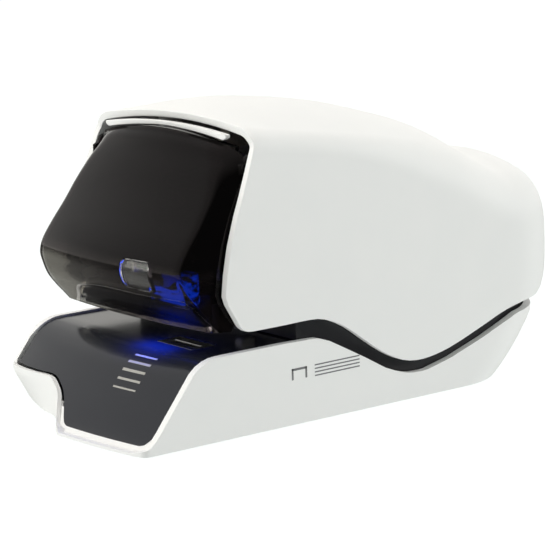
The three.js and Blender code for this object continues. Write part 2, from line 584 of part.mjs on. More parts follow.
// ---------------------------------------------------------------- cassette
function cassetteBody() {
  const { x0, x1, front, step, back, travel } = CASSETTE;
  const nose = box([x0, x1], [front - 0.2, step + 1], [33.5, 41.3]);
  const channel = box([STAPLE_X - 6.6, STAPLE_X + 6.6], [DRIVER_Y - 0.7, DRIVER_Y + travel + 1], [30, 50]);
  const bay = box([x0, x1], [step, back], [38.1, 48.6]);
  const bayHollow = box([x0 + 1.6, x1 - 1.6], [step + 1.6, back - 1.6], [39.7, 60]);
  const noseHollow = box([x0 + 1.6, x1 - 1.6], [DRIVER_Y + travel + 3, step - 2], [35, 60]);
  return cut(join(nose, bay), channel, bayHollow, noseHollow);
}

const cassetteCover = () => join(
  box([CASSETTE.x0, CASSETTE.x1], [CASSETTE.step, CASSETTE.back], [48.9, 49.9]),
  box([STAPLE_X - 6, STAPLE_X + 6], [CASSETTE.back - 4, CASSETTE.back], [49.4, 50.9]),
);

function stapleStack() {
  const sheet = box([STAPLE_X - 6.4, STAPLE_X + 6.4], [55, 75.4], [40, 42.6]);
  const grooves = [];
  for (let y = 56.6; y < 75; y += 1.9) {
    grooves.push(box([STAPLE_X - 7, STAPLE_X + 7], [y, y + 0.3], [42.2, 43]));
  }
  return cut(sheet, ...grooves);
}

const pressurePlate = () => join(
  box([STAPLE_X - 6.4, STAPLE_X + 6.4], [55, 75.4], [42.9, 43.9]),
  rod("z", 1.6, [43.5, 45.2], [STAPLE_X, 65.2], 12),
);

// ---------------------------------------------------------------- visor
// Stations of the visor from its lower edge to its top: corner [x, y], wrap-around end [x, y], and height.
const VISOR = [
  { z: 31.1, corner: [39.2, 29.7], end: [40.8, 35.2], bow: 2.6, rise: 0 },
  { z: 33.4, corner: [39.8, 27.9], end: [40.9, 36.4], bow: 2.8, rise: 0 },
  { z: 36, corner: [40.1, 25.6], end: [41, 37], bow: 3, rise: 0 },
  { z: 40, corner: [39.8, 22.4], end: [41, 35.6], bow: 3.2, rise: 0 },
  { z: 44.5, corner: [39.1, 20.2], end: [40.9, 35], bow: 3.4, rise: 0 },
  { z: 48, corner: [38.6, 19.2], end: [40.7, 35.6], bow: 3.6, rise: 0 },
  { z: 52, corner: [37.9, 20], end: [40.5, 36.6], bow: 3.6, rise: 0 },
  { z: 57, corner: [37.4, 23.2], end: [40.2, 38], bow: 3.6, rise: 0 },
  { z: 63.5, corner: [36.9, 28.2], end: [39.9, 40.4], bow: 3.4, rise: 0 },
  { z: 70, corner: [36, 32.5], end: [39.5, 42.6], bow: 3, rise: 0 },
  { z: 77, corner: [33, 36.3], end: [39, 44.4], bow: 2.6, rise: 0.6 },
  { z: 81.5, corner: [29.8, 38.7], end: [37.8, 44.6], bow: 2.2, rise: 1.6 },
  { z: 84.6, corner: [27.6, 40], end: [36.2, 44.2], bow: 1.8, rise: 3 },
  { z: 86.2, corner: [26, 41.2], end: [34.4, 43.6], bow: 1.4, rise: 4 },
];
function visorRing({ z, corner, end, bow, rise }) {
  const height = (x) => z + rise * 0.3 - rise * (x / end[0]) ** 2;
  const faceSteps = 4;
  const face = (inset) => {
    const right = [[end[0] - inset * 0.75, end[1]]];
    right.push([
      corner[0] + 0.4 * (end[0] - corner[0]) - inset * 0.9,
      corner[1] + 0.4 * (end[1] - corner[1]) + inset * 0.4,
    ]);
    for (let i = 0; i < faceSteps; i++) {
      const x = (corner[0] - inset * 0.8) * (1 - i / faceSteps);
      right.push([x, corner[1] - bow * (1 - (x / corner[0]) ** 2) + inset]);
    }
    return [...right, [0, corner[1] - bow + inset], ...right.map(([x, y]) => [-x, y]).reverse()];
  };
  return [...face(0), ...face(VISOR_WALL).reverse()].map(([x, y]) => [x, y, height(x)]);
}

function visorSkin() {
  return loft(VISOR.map(visorRing), ([x, y]) => new THREE.Vector2(x, y));
}

function visor() {
  const ears = [-1, 1].map((side) => {
    const span = side < 0 ? [-EAR[1], -EAR[0]] : EAR;
    return join(
      rod("x", EAR_R, span, [VISOR_AXIS.y, VISOR_AXIS.z], 20), box(span, [42, VISOR_AXIS.y], [76.4, 79.5]),
    );
  });
  const holes = [-1, 1].map((side) => {
    const span = side < 0 ? [-45, -34] : [34, 45];
    return rod("x", PIN_R + 0.4, span, [VISOR_AXIS.y, VISOR_AXIS.z], 16);
  });
  return cut(join(visorSkin(), ...ears), box(WINDOW.x, [10, 30], WINDOW.z), ...holes);
}

const visorWindow = () => visorSkin().intersect(
  box([WINDOW.x[0] + GAP, WINDOW.x[1] - GAP], [10, 30], [WINDOW.z[0] + GAP, WINDOW.z[1] - GAP]),
);

const visorPin = (side) =>
  rod("x", PIN_R, side < 0 ? [-PIN_END, -EAR[0]] : [EAR[0], PIN_END], [VISOR_AXIS.y, VISOR_AXIS.z], 14);

// ---------------------------------------------------------------- electrics
const paperPlunger = () => join(
  box(SENSOR.x, [55.6, 75], SENSOR.z), rod("x", 1.5, SENSOR.x, [55.6, (SENSOR.z[0] + SENSOR.z[1]) / 2], 16),
  box([SENSOR.x[0] - 1.5, SENSOR.x[1] + 1.5], [66, 68], SENSOR.z),
);
const paperSwitch = () => join(
  box([14, 24], [80, 86.5], [24, 31]),
  box([17.8, 20.2], [79.4, 81], [26.6, 29.2]),
);
const ledBoard = () => box([2.9, 26], [28.8, 32.6], [46.2, 47.4]);
const ledLamp = () => join(
  rod("z", 1.5, [42.2, 45.9], [17, 30.6], 16),
  rod("z", 1.9, [44.6, 45.9], [17, 30.6], 16),
);

function mainBoard() {
  const board = box([-36, -34.4], [70, 130], [30, 66]);
  const corners = [[74, 34], [126, 34], [74, 62], [126, 62]];
  const holes = corners.map((spot) => rod("x", 1.6, [-40, -30], spot, 12));
  return cut(board, ...holes);
}

const capacitor = () => rod("x", 5, [-34.1, -18], [118, 44], 20);
const relay = () => box([-34.1, -20], [76, 92], [38, 50]);
const boardSocket = () => cut(box([-34.1, -26], [98, 110], [54, 60]), box([-33, -25], [99, 109], [55, 59]));

const powerInlet = () => join(
  cut(
    box([-INLET.half, INLET.half], [169, INLET.face], [INLET.bottom, INLET.top]),
    rod("y", 2.9, [INLET.face - 9.6, 190], [0, (INLET.bottom + INLET.top) / 2], 20),
  ),
  rod("y", 0.95, [171, INLET.face - 1.1], [0, (INLET.bottom + INLET.top) / 2], 12),
);

// ---------------------------------------------------------------- materials
const look = (color, roughness, metalness, opacity = 1) =>
  new THREE.MeshStandardMaterial({ color, roughness, metalness, opacity, transparent: opacity < 1 });
const WHITE = look(0xf2efe9, 0.45, 0);
const DARK = look(0x3e3f44, 0.4, 0);
const FRAME_DARK = look(0x2c2d30, 0.5, 0);
const SMOKE = look(0x281f22, 0.08, 0, 0.75);
const CLEAR = look(0xc8d2e6, 0.05, 0, 0.4);
const STEEL = look(0xa9adb2, 0.35, 1);
const ZINC = look(0xc3c6c9, 0.3, 1);
const BRASS = look(0xc9a24b, 0.35, 1);
const ACETAL = look(0xe6e2d6, 0.5, 0);
const BLACK = look(0x1c1c1e, 0.45, 0);
const RUBBER = look(0x222222, 0.9, 0);
const BOARD = look(0x1f5c3a, 0.5, 0);
const BLUE = look(0x2a4cff, 0.2, 0, 0.8);

// ---------------------------------------------------------------- assembly
const stapler = new THREE.Group();
stapler.name = "electric_stapler";

part("base_housing", baseHousing(), WHITE);
part("deck_plate", deckPlate(), DARK);
part("base_bottom_plate", bottomPlate(), FRAME_DARK);
SCREWS.forEach((spot, i) => part(`base_screw_${i + 1}`, baseScrew(spot), ZINC));
FEET.forEach(([name, x, y]) => part(`rubber_foot_${name}`, rod("z", 6, [-FOOT_DROP, 0], [x, y], 20), RUBBER));
part("anvil_plate", anvilPlate(), ZINC);
part("clincher_block", clincherBlock(), STEEL);
part("clincher_wing_left", clincherWing(-1), ZINC);
part("clincher_wing_right", clincherWing(1), ZINC);
part("anvil_beam", anvilBeam(), STEEL);

part("chassis", chassis(), FRAME_DARK);
part("frame_plate_left", framePlate(PLATES.left, PLATES.thickness, 1, true), STEEL);
part("frame_plate_right", framePlate(PLATES.right, PLATES.thickness, -1, false), STEEL);
part("tie_bar_top", tieBar(92, 77), STEEL);
part("tie_bar_rear", tieBar(142, 40), STEEL);
part("top_shell", topShell(), WHITE);

part("motor_body", motorBody(), STEEL);
part("motor_pinion", motorPinion(), BRASS);
part("reduction_gear", reductionGear(), ACETAL);
part("pivot_shaft", pivotShaft(), STEEL);
part("main_shaft", mainShaft(), STEEL);
part("main_gear", mainGear(), ACETAL);
part("drive_cam", driveCam(), ZINC);
part("drive_arm", driveArm(), STEEL);

part("driver_carriage", driverCarriage(), BLACK);
part("driver_blade", driverBlade(), ZINC);
part("head_bridge", headBridge(), STEEL);
part("guide_rod_left", guideRod(RODS.left), ZINC);
part("guide_rod_right", guideRod(RODS.right), ZINC);
part("return_spring_left", spring(RODS.left, RODS.y, [64.3, 69.1], 2.3, 0.4, 4), ZINC);
part("return_spring_right", spring(RODS.right, RODS.y, [64.3, 69.1], 2.3, 0.4, 4), ZINC);
part("press_foot", pressFoot(), BLACK);

part("cassette_body", cassetteBody(), BLACK);
part("cassette_cover", cassetteCover(), DARK);
part("staple_stack", stapleStack(), ZINC);
part("pressure_plate", pressurePlate(), ACETAL);
part("pressure_spring", spring(STAPLE_X, 65.2, [44.6, 48.2], 3, 0.35, 4), ZINC);

part("visor", visor(), SMOKE);
part("visor_window", visorWindow(), CLEAR);
part("visor_pin_left", visorPin(-1), STEEL);
part("visor_pin_right", visorPin(1), STEEL);

part("paper_plunger", paperPlunger(), ACETAL);
part("paper_switch", paperSwitch(), BLACK);
part("led_board", ledBoard(), BOARD);
part("led_lamp", ledLamp(), BLUE);
part("main_board", mainBoard(), BOARD);
part("capacitor", capacitor(), BLACK);
part("relay", relay(), BLACK);
part("board_socket", boardSocket(), ACETAL);
part("power_inlet", powerInlet(), BLACK);

stapler.position.set(0, -CENTRE_Y, FOOT_DROP);

export default stapler;
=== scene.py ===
"""Looks of the electric desk stapler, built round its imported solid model."""

import json
import math

import bmesh
import bpy
from mathutils import Matrix, Vector


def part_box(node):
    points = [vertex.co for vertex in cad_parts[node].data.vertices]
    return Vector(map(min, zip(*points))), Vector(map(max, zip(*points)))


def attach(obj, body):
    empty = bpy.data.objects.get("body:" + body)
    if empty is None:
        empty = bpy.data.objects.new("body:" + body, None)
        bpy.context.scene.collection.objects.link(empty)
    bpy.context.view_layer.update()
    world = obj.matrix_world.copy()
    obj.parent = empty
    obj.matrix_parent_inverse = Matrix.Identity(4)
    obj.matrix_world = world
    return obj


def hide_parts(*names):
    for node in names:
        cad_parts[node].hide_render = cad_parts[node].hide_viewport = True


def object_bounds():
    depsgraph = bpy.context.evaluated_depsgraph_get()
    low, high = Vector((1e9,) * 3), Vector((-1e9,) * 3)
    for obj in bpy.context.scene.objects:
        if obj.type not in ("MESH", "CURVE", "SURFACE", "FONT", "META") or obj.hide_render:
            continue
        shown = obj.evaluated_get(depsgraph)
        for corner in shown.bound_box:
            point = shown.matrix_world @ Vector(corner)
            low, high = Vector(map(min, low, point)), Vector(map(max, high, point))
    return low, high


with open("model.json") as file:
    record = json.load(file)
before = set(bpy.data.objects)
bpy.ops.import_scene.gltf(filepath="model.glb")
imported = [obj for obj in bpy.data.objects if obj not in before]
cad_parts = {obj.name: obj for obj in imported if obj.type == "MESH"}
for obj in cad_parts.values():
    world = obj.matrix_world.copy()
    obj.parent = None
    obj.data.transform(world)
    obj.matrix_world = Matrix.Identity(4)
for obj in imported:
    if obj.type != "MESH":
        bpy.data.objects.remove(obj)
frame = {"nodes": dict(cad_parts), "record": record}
cad_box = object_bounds()
NODES = frame["nodes"]
MM = 0.001

# ------------------------------------------------------------------ sizes, in millimetres
HALF_W = 44.0
BASE_HALF_W = 43.95
DECK_START = 3.5
DECK_CORNER = 3.2
WALL = 2.4
FRONT_BOW = 3.8
TAIL_END = 181.8
TAIL_R = 30.0
TAIL_TOP_R = 20.0
DRAFT = 0.05
DRAFT_FROM = 40.0
DECK_Z = 24.4
DECK_HALF = 41.2
FRONT_ZONE = 60.0
VISOR_AXIS = (46.5, 80.0)
# The outlines below start at the base's front corner, so this is where that corner stands in the frame.
ORIGIN = Vector((0, cad_box[0].y / MM + FRONT_BOW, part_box("deck_plate")[1].z / MM - DECK_Z))

CREST = [(28, 84), (38, 89.4), (42, 91.3), (47, 93.6), (57, 95.3), (70, 95.3), (97, 92), (118, 87),
         (132.5, 82.4), (147.5, 74.2), (155, 70.8), (164.5, 70.4), (176, 71), (186, 70.4)]
SHOULDER = [(28, 8), (48, 8), (60, 8), (83, 9), (103, 13), (124, 19), (140, 22), (152, 21), (165, 18),
            (186, 16)]
CROWN = [(28, 1.6), (42, 1.8), (47, 3.4), (57, 6.6), (75, 8.5), (103, 8.5), (140, 6), (165, 5), (186, 5)]
RIM = [(32.9, 36.1), (39.4, 32.3), (41.6, 31.3), (47.4, 32.1), (56, 34.2), (64.6, 37.2), (73.1, 40.8),
       (81.6, 44), (85.6, 45.4), (105.6, 43.4)]
EDGE = [(36.1, 32.9), (37.6, 31.4), (39.6, 30.8), (45, 30.7), (52, 30.7), (65.2, 30.7), (70.5, 29.4),
        (77.1, 26.2), (85.1, 20.6), (91, 16.6), (97, 13.4), (103, 11.5), (110.2, 11.2), (120.4, 13),
        (135.2, 17.8), (144, 20.9), (150, 22.4), (156, 23.3), (166, 23.6), (190, 23.8)]
TAIL_UNDER = [(20, 171), (22.4, 172.7), (23.3, 174.8), (24.4, 177.3), (26.3, 179.3), (28.9, 180.7),
              (33, 181.5), (40, TAIL_END)]
BASE_TOP = [(52, 25.1), (65, 24.8), (69.5, 23.5), (76.2, 20), (84.7, 15.5), (92.4, 11.1), (97.9, 8.9),
            (102.9, 7.5), (109.4, 7.2), (120.3, 9.4), (135, 13.9), (145, 17.5), (151.5, 19.5), (160, 19.8),
            (185, 19.9)]
BASE_REAR = [(-9, 157), (-1.2, 157.4), (0.2, 159.4), (4.9, 164.5), (7.9, 167.4), (13.3, 171.7), (18.1, 174.7),
             (40, 174.7)]
DECK_FRONT = [(3.3, 2), (5, 3.3), (6.8, 5.3), (9.8, 9.1), (13.6, 13.7), (16.6, 17.5), (19.2, 20.7),
              (21.2, 22.3), (23.2, 23.4), (26, 24.2), (29.1, DECK_Z), (61, DECK_Z)]
NOTCH_TOP = [(-44, 10.8), (-37.2, 9.7), (-28.2, 8.8), (-20, 8.4), (-16.5, 8), (-12, 6.6), (-7.9, 4.9),
             (-4.4, 2.6), (0.1, -0.6), (3.7, -2.2), (6, -4.2)]
NOTCH_FLOOR = [(-44, 16.5), (-37.2, 13.8), (-30, 11.3), (-22.8, 9.2), (-16.7, 8.3), (-12, 6.3), (-8, 3.7),
               (-4.4, 1.4), (0.1, -1.5), (3.7, -3.2), (6, -4.4)]
NOTCH_RISE = 9.5
NOTCH_CORNER = 1.5
NOTCH_WALL = 1.2
# Visor cross-sections: height, face corner (x, y), rear end (x, y), bow of the face, rise at the middle.
VISOR = [
    (31.1, 39.2, 29.7, 40.8, 35.2, 2.6, 0), (33.4, 39.8, 27.9, 40.9, 36.4, 2.8, 0),
    (36, 40.1, 25.6, 41, 37, 3, 0), (40, 39.8, 22.4, 41, 35.6, 3.2, 0), (44.5, 39.1, 20.2, 40.9, 35, 3.4, 0),
    (48, 38.6, 19.2, 40.7, 35.6, 3.6, 0), (52, 37.9, 20, 40.5, 36.6, 3.6, 0),
    (57, 37.4, 23.2, 40.2, 38, 3.6, 0), (63.5, 36.9, 28.2, 39.9, 40.4, 3.4, 0),
    (70, 36, 32.5, 39.5, 42.6, 3, 0), (77, 33, 36.3, 39, 44.4, 2.6, 0.6),
    (81.5, 29.8, 38.7, 37.8, 44.6, 2.2, 1.6), (84.6, 27.6, 40, 36.2, 44.2, 1.8, 3),
    (86.2, 26, 41.2, 34.4, 43.6, 1.4, 4),
]
WINDOW = ((12, 25), (43, 52))
VISOR_WALL = 2.0
VISOR_TOP = 87.1
TRIM_HALF = 31.5
PIN_R = 1.5
SHELL_POSTS = [(-26, 64), (-22, 151), (22, 151)]
LED_SPOT = (16, 25.5, 29.2)
SKIN_GAP = 0.1
THROAT_REAR = 60.8
BASE_CORNER = 2.6
DECK_THICKNESS = 1.7
LEDGE_THICKNESS = 1.2
POST_R = 4.0
POST_FOOT = 34.0
PILOT_R = 1.3
PILOT_DEPTH = 12.0
INLET_OPENING = ((-7.3, 165, 34.7), (7.3, 190, 47.3))
ANVIL_OPENING = ((9.7, 29.7, 10), (28.3, 39.3, 30))
TRIM_FRONT = 42.4
TRIM_REAR = 44.2
EAR_R = 2.8
EAR_FROM = 37.5
EAR_TO = 39.1
# Depth marks: distance up the slope and half-height of each bar, then where the bars start and end across.
MARKS = [(14.1, 0.16), (15.9, 0.22), (17.8, 0.26), (19.6, 0.28), (21.6, 0.25)]
MARK_SPAN = (14.0, 24.4)
MARK_LIFT = 0.05
MARK_SUNK = 0.2
CAMERA_DEGREES = (51.482, 10.88, -1.569)
CAMERA_AT = (0.49939, -0.39998, 0.15836)
CAMERA_LENS = 128.57
FLOOR_REACH = 8.0


# ------------------------------------------------------------------ curves
def lerp(a, b, t):
    return a + (b - a) * t


def clamp(v, low=0.0, high=1.0):
    return min(max(v, low), high)


def along(knots, t):
    """Value at t of a smooth curve through (t, value) knots."""
    if t <= knots[0][0]:
        return knots[0][1]
    if t >= knots[-1][0]:
        return knots[-1][1]
    i = max(k for k in range(len(knots) - 1) if knots[k][0] <= t)

    def slope(k):
        a, b = knots[max(k - 1, 0)], knots[min(k + 1, len(knots) - 1)]
        return (b[1] - a[1]) / (b[0] - a[0])

    (t0, v0), (t1, v1) = knots[i], knots[i + 1]
    h = t1 - t0
    s = (t - t0) / h
    ends = (2 * s ** 3 - 3 * s ** 2 + 1) * v0 + (3 * s ** 2 - 2 * s ** 3) * v1
    return ends + h * ((s ** 3 - 2 * s ** 2 + s) * slope(i) + (s ** 3 - s ** 2) * slope(i + 1))


def straight(knots, t):
    """Value at t of straight lines through (t, value) knots, going on past both ends."""
    i = max([k for k in range(len(knots) - 1) if knots[k][0] <= t] or [0])
    (t0, v0), (t1, v1) = knots[i], knots[i + 1]
    return v0 + (v1 - v0) * (t - t0) / (t1 - t0)


def draw_in(r, d):
    """How far a quarter-round of radius r has drawn in at a distance d past its start."""
    return 0.0 if d <= 0 else r - math.sqrt(max(r * r - min(d, r) ** 2, 0))


# ------------------------------------------------------------------ meshes
def place(p):
    return (Vector(p) + ORIGIN) * MM


def piece(name, points, faces, material=None):
    """A new object from points in millimetres, counted from the base's front corner."""
    mesh = bpy.data.meshes.new(name)
    mesh.from_pydata([place(p) for p in points], [], faces)
    mesh.update()
    made = bpy.data.objects.new(name, mesh)
    bpy.context.scene.collection.objects.link(made)
    if material:
        mesh.materials.append(material)
    return made


def grid_faces(rows, columns, start=0, closed=False):
    """Quads between rows of points; each row holds that many columns."""
    last = columns if closed else columns - 1
    return [
        (start + r * columns + c, start + r * columns + (c + 1) % columns,
         start + (r + 1) * columns + (c + 1) % columns, start + (r + 1) * columns + c)
        for r in range(rows - 1) for c in range(last)
    ]


def modifier(obj, kind, **settings):
    made = obj.modifiers.new(kind.title(), kind)
    for key, value in settings.items():
        setattr(made, key, value)
    return made


def bake(obj, sharp=None):
    """Turns the object's modifiers into its mesh, and marks edges over the angle in degrees as sharp."""
    bpy.context.view_layer.update()
    graph = bpy.context.evaluated_depsgraph_get()
    made = bpy.data.meshes.new_from_object(obj.evaluated_get(graph))
    obj.modifiers.clear()
    obj.data = made
    made.shade_smooth()
    if sharp:
        made.set_sharp_from_angle(angle=math.radians(sharp))
    return obj


def finish_edges(obj, width, segments=3, angle=35, weight=True):
    modifier(obj, "BEVEL", width=width * MM, segments=segments, limit_method="ANGLE",
             angle_limit=math.radians(angle), use_clamp_overlap=True)
    bake(obj, sharp=50)
    if weight:
        modifier(obj, "WEIGHTED_NORMAL", keep_sharp=True)
    return obj


def carve(obj, tool, operation="DIFFERENCE"):
    modifier(obj, "BOOLEAN", operation=operation, object=tool, solver="EXACT")
    bake(obj)
    bpy.data.objects.remove(tool)
    return obj


def rounded_box(name, low, high, radius, segments=4, axis="y"):
    """A block whose four edges along one axis are rounded."""
    order = {"x": (1, 2, 0), "y": (2, 0, 1), "z": (0, 1, 2)}[axis]
    u, v, w = order
    centre = [((low[u] + radius, high[u] - radius)), ((low[v] + radius, high[v] - radius))]
    outline = []
    for k, (cu, cv) in enumerate([(1, 1), (0, 1), (0, 0), (1, 0)]):
        for s in range(segments + 1):
            a = math.pi / 2 * (k + s / segments)
            outline.append((centre[0][cu] + radius * math.cos(a), centre[1][cv] + radius * math.sin(a)))
    points = []
    for end in (low[w], high[w]):
        for pu, pv in outline:
            p = [0, 0, 0]
            p[u], p[v], p[w] = pu, pv, end
            points.append(p)
    n = len(outline)
    faces = grid_faces(2, n, closed=True)
    faces.append(tuple(reversed(range(n))))
    faces.append(tuple(range(n, 2 * n)))
    return piece(name, points, faces)


def turned(name, profile, centre, axis="z", sides=48, caps=True):
    """A turned piece: profile is (radius, height) from one end to the other along the axis."""
    points = []
    for r, h in profile:
        for s in range(sides):
            a = 2 * math.pi * s / sides
            c, d = r * math.cos(a), r * math.sin(a)
            points.append({"z": (c, d, h), "x": (h, c, d), "y": (d, h, c)}[axis])
    points = [tuple(Vector(p) + Vector(centre)) for p in points]
    faces = grid_faces(len(profile), sides, closed=True)
    if caps:
        faces.append(tuple(reversed(range(sides))))
        last = (len(profile) - 1) * sides
        faces.append(tuple(range(last, last + sides)))
    return piece(name, points, faces)


def outward(obj):
    """Turns every face of a closed mesh to face out."""
    mesh = bmesh.new()
    mesh.from_mesh(obj.data)
    bmesh.ops.recalc_face_normals(mesh, faces=mesh.faces)
    mesh.to_mesh(obj.data)
    mesh.free()
    return obj


def thickened(obj, thickness, least, share_at, even=True):
    """Gives a skin its wall; share_at says how far a vertex goes from the least to the full thickness."""
    group = obj.vertex_groups.new(name="wall")
    for vertex in obj.data.vertices:
        group.add([vertex.index], clamp(share_at(vertex.co / MM - ORIGIN)), "REPLACE")
    modifier(obj, "SOLIDIFY", thickness=thickness * MM, offset=-1, use_even_offset=even,
             vertex_group="wall", thickness_vertex_group=least / thickness)
    return bake(obj)


# ------------------------------------------------------------------ materials
def new_material(name):
    material = bpy.data.materials.new(name)
    material.use_nodes = True
    nodes = material.node_tree.nodes
    nodes.clear()
    shader = nodes.new("ShaderNodeBsdfPrincipled")
    out = nodes.new("ShaderNodeOutputMaterial")
    material.node_tree.links.new(shader.outputs[0], out.inputs[0])
    return material, nodes, material.node_tree.links, shader


def object_coordinates(nodes, links, scale=(1, 1, 1)):
    coord = nodes.new("ShaderNodeTexCoord")
    mapping = nodes.new("ShaderNodeMapping")
    mapping.inputs["Scale"].default_value = scale
    links.new(coord.outputs["Object"], mapping.inputs["Vector"])
    return mapping.outputs["Vector"]


def noise(nodes, links, vector, scale, detail=2.0):
    made = nodes.new("ShaderNodeTexNoise")
    made.inputs["Scale"].default_value = scale
    made.inputs["Detail"].default_value = detail
    links.new(vector, made.inputs["Vector"])
    return made.outputs["Fac"]


def ramp(nodes, links, value, low, high, out_low, out_high):
    made = nodes.new("ShaderNodeMapRange")
    for key, number in (("From Min", low), ("From Max", high), ("To Min", out_low), ("To Max", out_high)):
        made.inputs[key].default_value = number
    links.new(value, made.inputs["Value"])
    return made.outputs["Result"]


def mixed(nodes, links, factor, first, second):
    made = nodes.new("ShaderNodeMix")
    made.data_type = "RGBA"
    links.new(factor, made.inputs[0])
    for socket, colour in ((made.inputs[6], first), (made.inputs[7], second)):
        if isinstance(colour, bpy.types.NodeSocket):
            links.new(colour, socket)
        else:
            socket.default_value = (*colour, 1)
    return made.outputs[2]


def bumped(nodes, links, shader, height, strength, distance):
    bump = nodes.new("ShaderNodeBump")
    bump.inputs["Strength"].default_value = strength
    bump.inputs["Distance"].default_value = distance
    links.new(height, bump.inputs["Height"])
    links.new(bump.outputs["Normal"], shader.inputs["Normal"])


def plastic(name, dark, light, roughness, grain=0.25, grain_size=0.35, patch_size=18, **sockets):
    """Moulded plastic: fine spark-eroded grain, slow changes of colour and gloss."""
    material, nodes, links, shader = new_material(name)
    vector = object_coordinates(nodes, links)
    patches = noise(nodes, links, vector, 1 / (patch_size * MM), 3)
    fine = noise(nodes, links, vector, 1 / (grain_size * MM), 2)
    links.new(mixed(nodes, links, patches, dark, light), shader.inputs["Base Color"])
    links.new(ramp(nodes, links, fine, 0.3, 0.7, roughness[0], roughness[1]), shader.inputs["Roughness"])
    bumped(nodes, links, shader, fine, grain, 0.02 * MM)
    for key, value in sockets.items():
        shader.inputs[key.replace("_", " ")].default_value = value
    return material


def brushed(name, dark, light, roughness, stretch):
    """Rolled or drawn metal: fine lines along one axis and faint stains."""
    material, nodes, links, shader = new_material(name)
    lines = noise(nodes, links, object_coordinates(nodes, links, stretch), 1 / (0.5 * MM), 3)
    stains = noise(nodes, links, object_coordinates(nodes, links), 1 / (9 * MM), 4)
    links.new(mixed(nodes, links, stains, dark, light), shader.inputs["Base Color"])
    links.new(ramp(nodes, links, lines, 0.3, 0.7, roughness[0], roughness[1]), shader.inputs["Roughness"])
    bumped(nodes, links, shader, lines, 0.25, 0.015 * MM)
    shader.inputs["Metallic"].default_value = 1.0
    return material


WHITE = plastic("white_shell", (0.86, 0.865, 0.85), (0.90, 0.895, 0.875), (0.34, 0.42), 0.12)
DECK = plastic("deck_grey", (0.014, 0.0155, 0.0205), (0.019, 0.0205, 0.026), (0.15, 0.19), 0.02,
               Coat_Weight=0.15, Coat_Roughness=0.08)
FRAME_DARK = plastic("frame_dark", (0.020, 0.020, 0.023), (0.028, 0.028, 0.031), (0.32, 0.42), 0.2)
BLACK = plastic("black_plastic", (0.010, 0.010, 0.011), (0.018, 0.018, 0.020), (0.3, 0.45), 0.35)
ACETAL = plastic("acetal", (0.66, 0.63, 0.56), (0.74, 0.71, 0.64), (0.32, 0.42), 0.2)
RUBBER = plastic("rubber", (0.010, 0.010, 0.010), (0.022, 0.022, 0.021), (0.72, 0.9), 0.8, 0.5)
STEEL = brushed("steel", (0.50, 0.51, 0.52), (0.62, 0.62, 0.61), (0.24, 0.40), (1, 0.06, 1))
BRASS = brushed("brass", (0.66, 0.46, 0.18), (0.76, 0.56, 0.26), (0.22, 0.36), (0.06, 1, 1))
INK = plastic("printed_ink", (0.37, 0.36, 0.33), (0.42, 0.41, 0.38), (0.45, 0.6), 0.3, 0.2)
GREY_INK = plastic("grey_ink", (0.17, 0.17, 0.175), (0.21, 0.21, 0.215), (0.45, 0.6), 0.2, 0.2)


def smoked():
    """Smoked polycarbonate: nearly opaque above the crease, clearer towards the lower edge, its tint with
    painted light at the lower left and painted shade on the right side face.
    """
    material, nodes, links, shader = new_material("smoked_clear")
    coord = nodes.new("ShaderNodeTexCoord")
    axes = nodes.new("ShaderNodeSeparateXYZ")
    links.new(coord.outputs["Object"], axes.inputs[0])
    crease = (50 + ORIGIN.z) * MM
    above = nodes.new("ShaderNodeMapRange")
    above.interpolation_type = "SMOOTHSTEP"
    above.inputs["From Min"].default_value = crease - 3 * MM
    above.inputs["From Max"].default_value = crease + 1 * MM
    above.inputs["To Min"].default_value = 0
    above.inputs["To Max"].default_value = 1
    links.new(axes.outputs["Z"], above.inputs["Value"])
    # Painted light: the lower tint turns lighter towards the left, standing in for the bright background seen
    # through the visor there.
    across = ramp(nodes, links, axes.outputs["X"], -30 * MM, 12 * MM, 0, 1)
    lower = mixed(nodes, links, across, (0.30, 0.29, 0.265), (0.12, 0.10, 0.10))
    # Painted shade: the upper tint turns darker across the right side face.
    side = ramp(nodes, links, axes.outputs["X"], 30 * MM, 37 * MM, 0, 1)
    upper = mixed(nodes, links, side, (0.012, 0.0075, 0.0085), (0.0012, 0.001, 0.001))
    links.new(mixed(nodes, links, above.outputs["Result"], lower, upper), shader.inputs["Base Color"])
    vector = object_coordinates(nodes, links)
    fine = noise(nodes, links, vector, 1 / (3 * MM), 3)
    links.new(ramp(nodes, links, fine, 0.3, 0.7, 0.03, 0.06), shader.inputs["Roughness"])
    bumped(nodes, links, shader, noise(nodes, links, vector, 1 / (25 * MM), 1), 0.05, 0.05 * MM)
    shader.inputs["Transmission Weight"].default_value = 1.0
    shader.inputs["IOR"].default_value = 1.32
    shader.inputs["Specular Tint"].default_value = (1, 0.90, 0.90, 1)
    return material


def clear_plastic(name, tint):
    material, nodes, links, shader = new_material(name)
    vector = object_coordinates(nodes, links)
    fine = noise(nodes, links, vector, 1 / (2 * MM), 3)
    links.new(mixed(nodes, links, fine, tint, tuple(0.9 * c for c in tint)), shader.inputs["Base Color"])
    links.new(ramp(nodes, links, fine, 0.3, 0.7, 0.03, 0.10), shader.inputs["Roughness"])
    shader.inputs["Transmission Weight"].default_value = 1.0
    shader.inputs["IOR"].default_value = 1.45
    return material


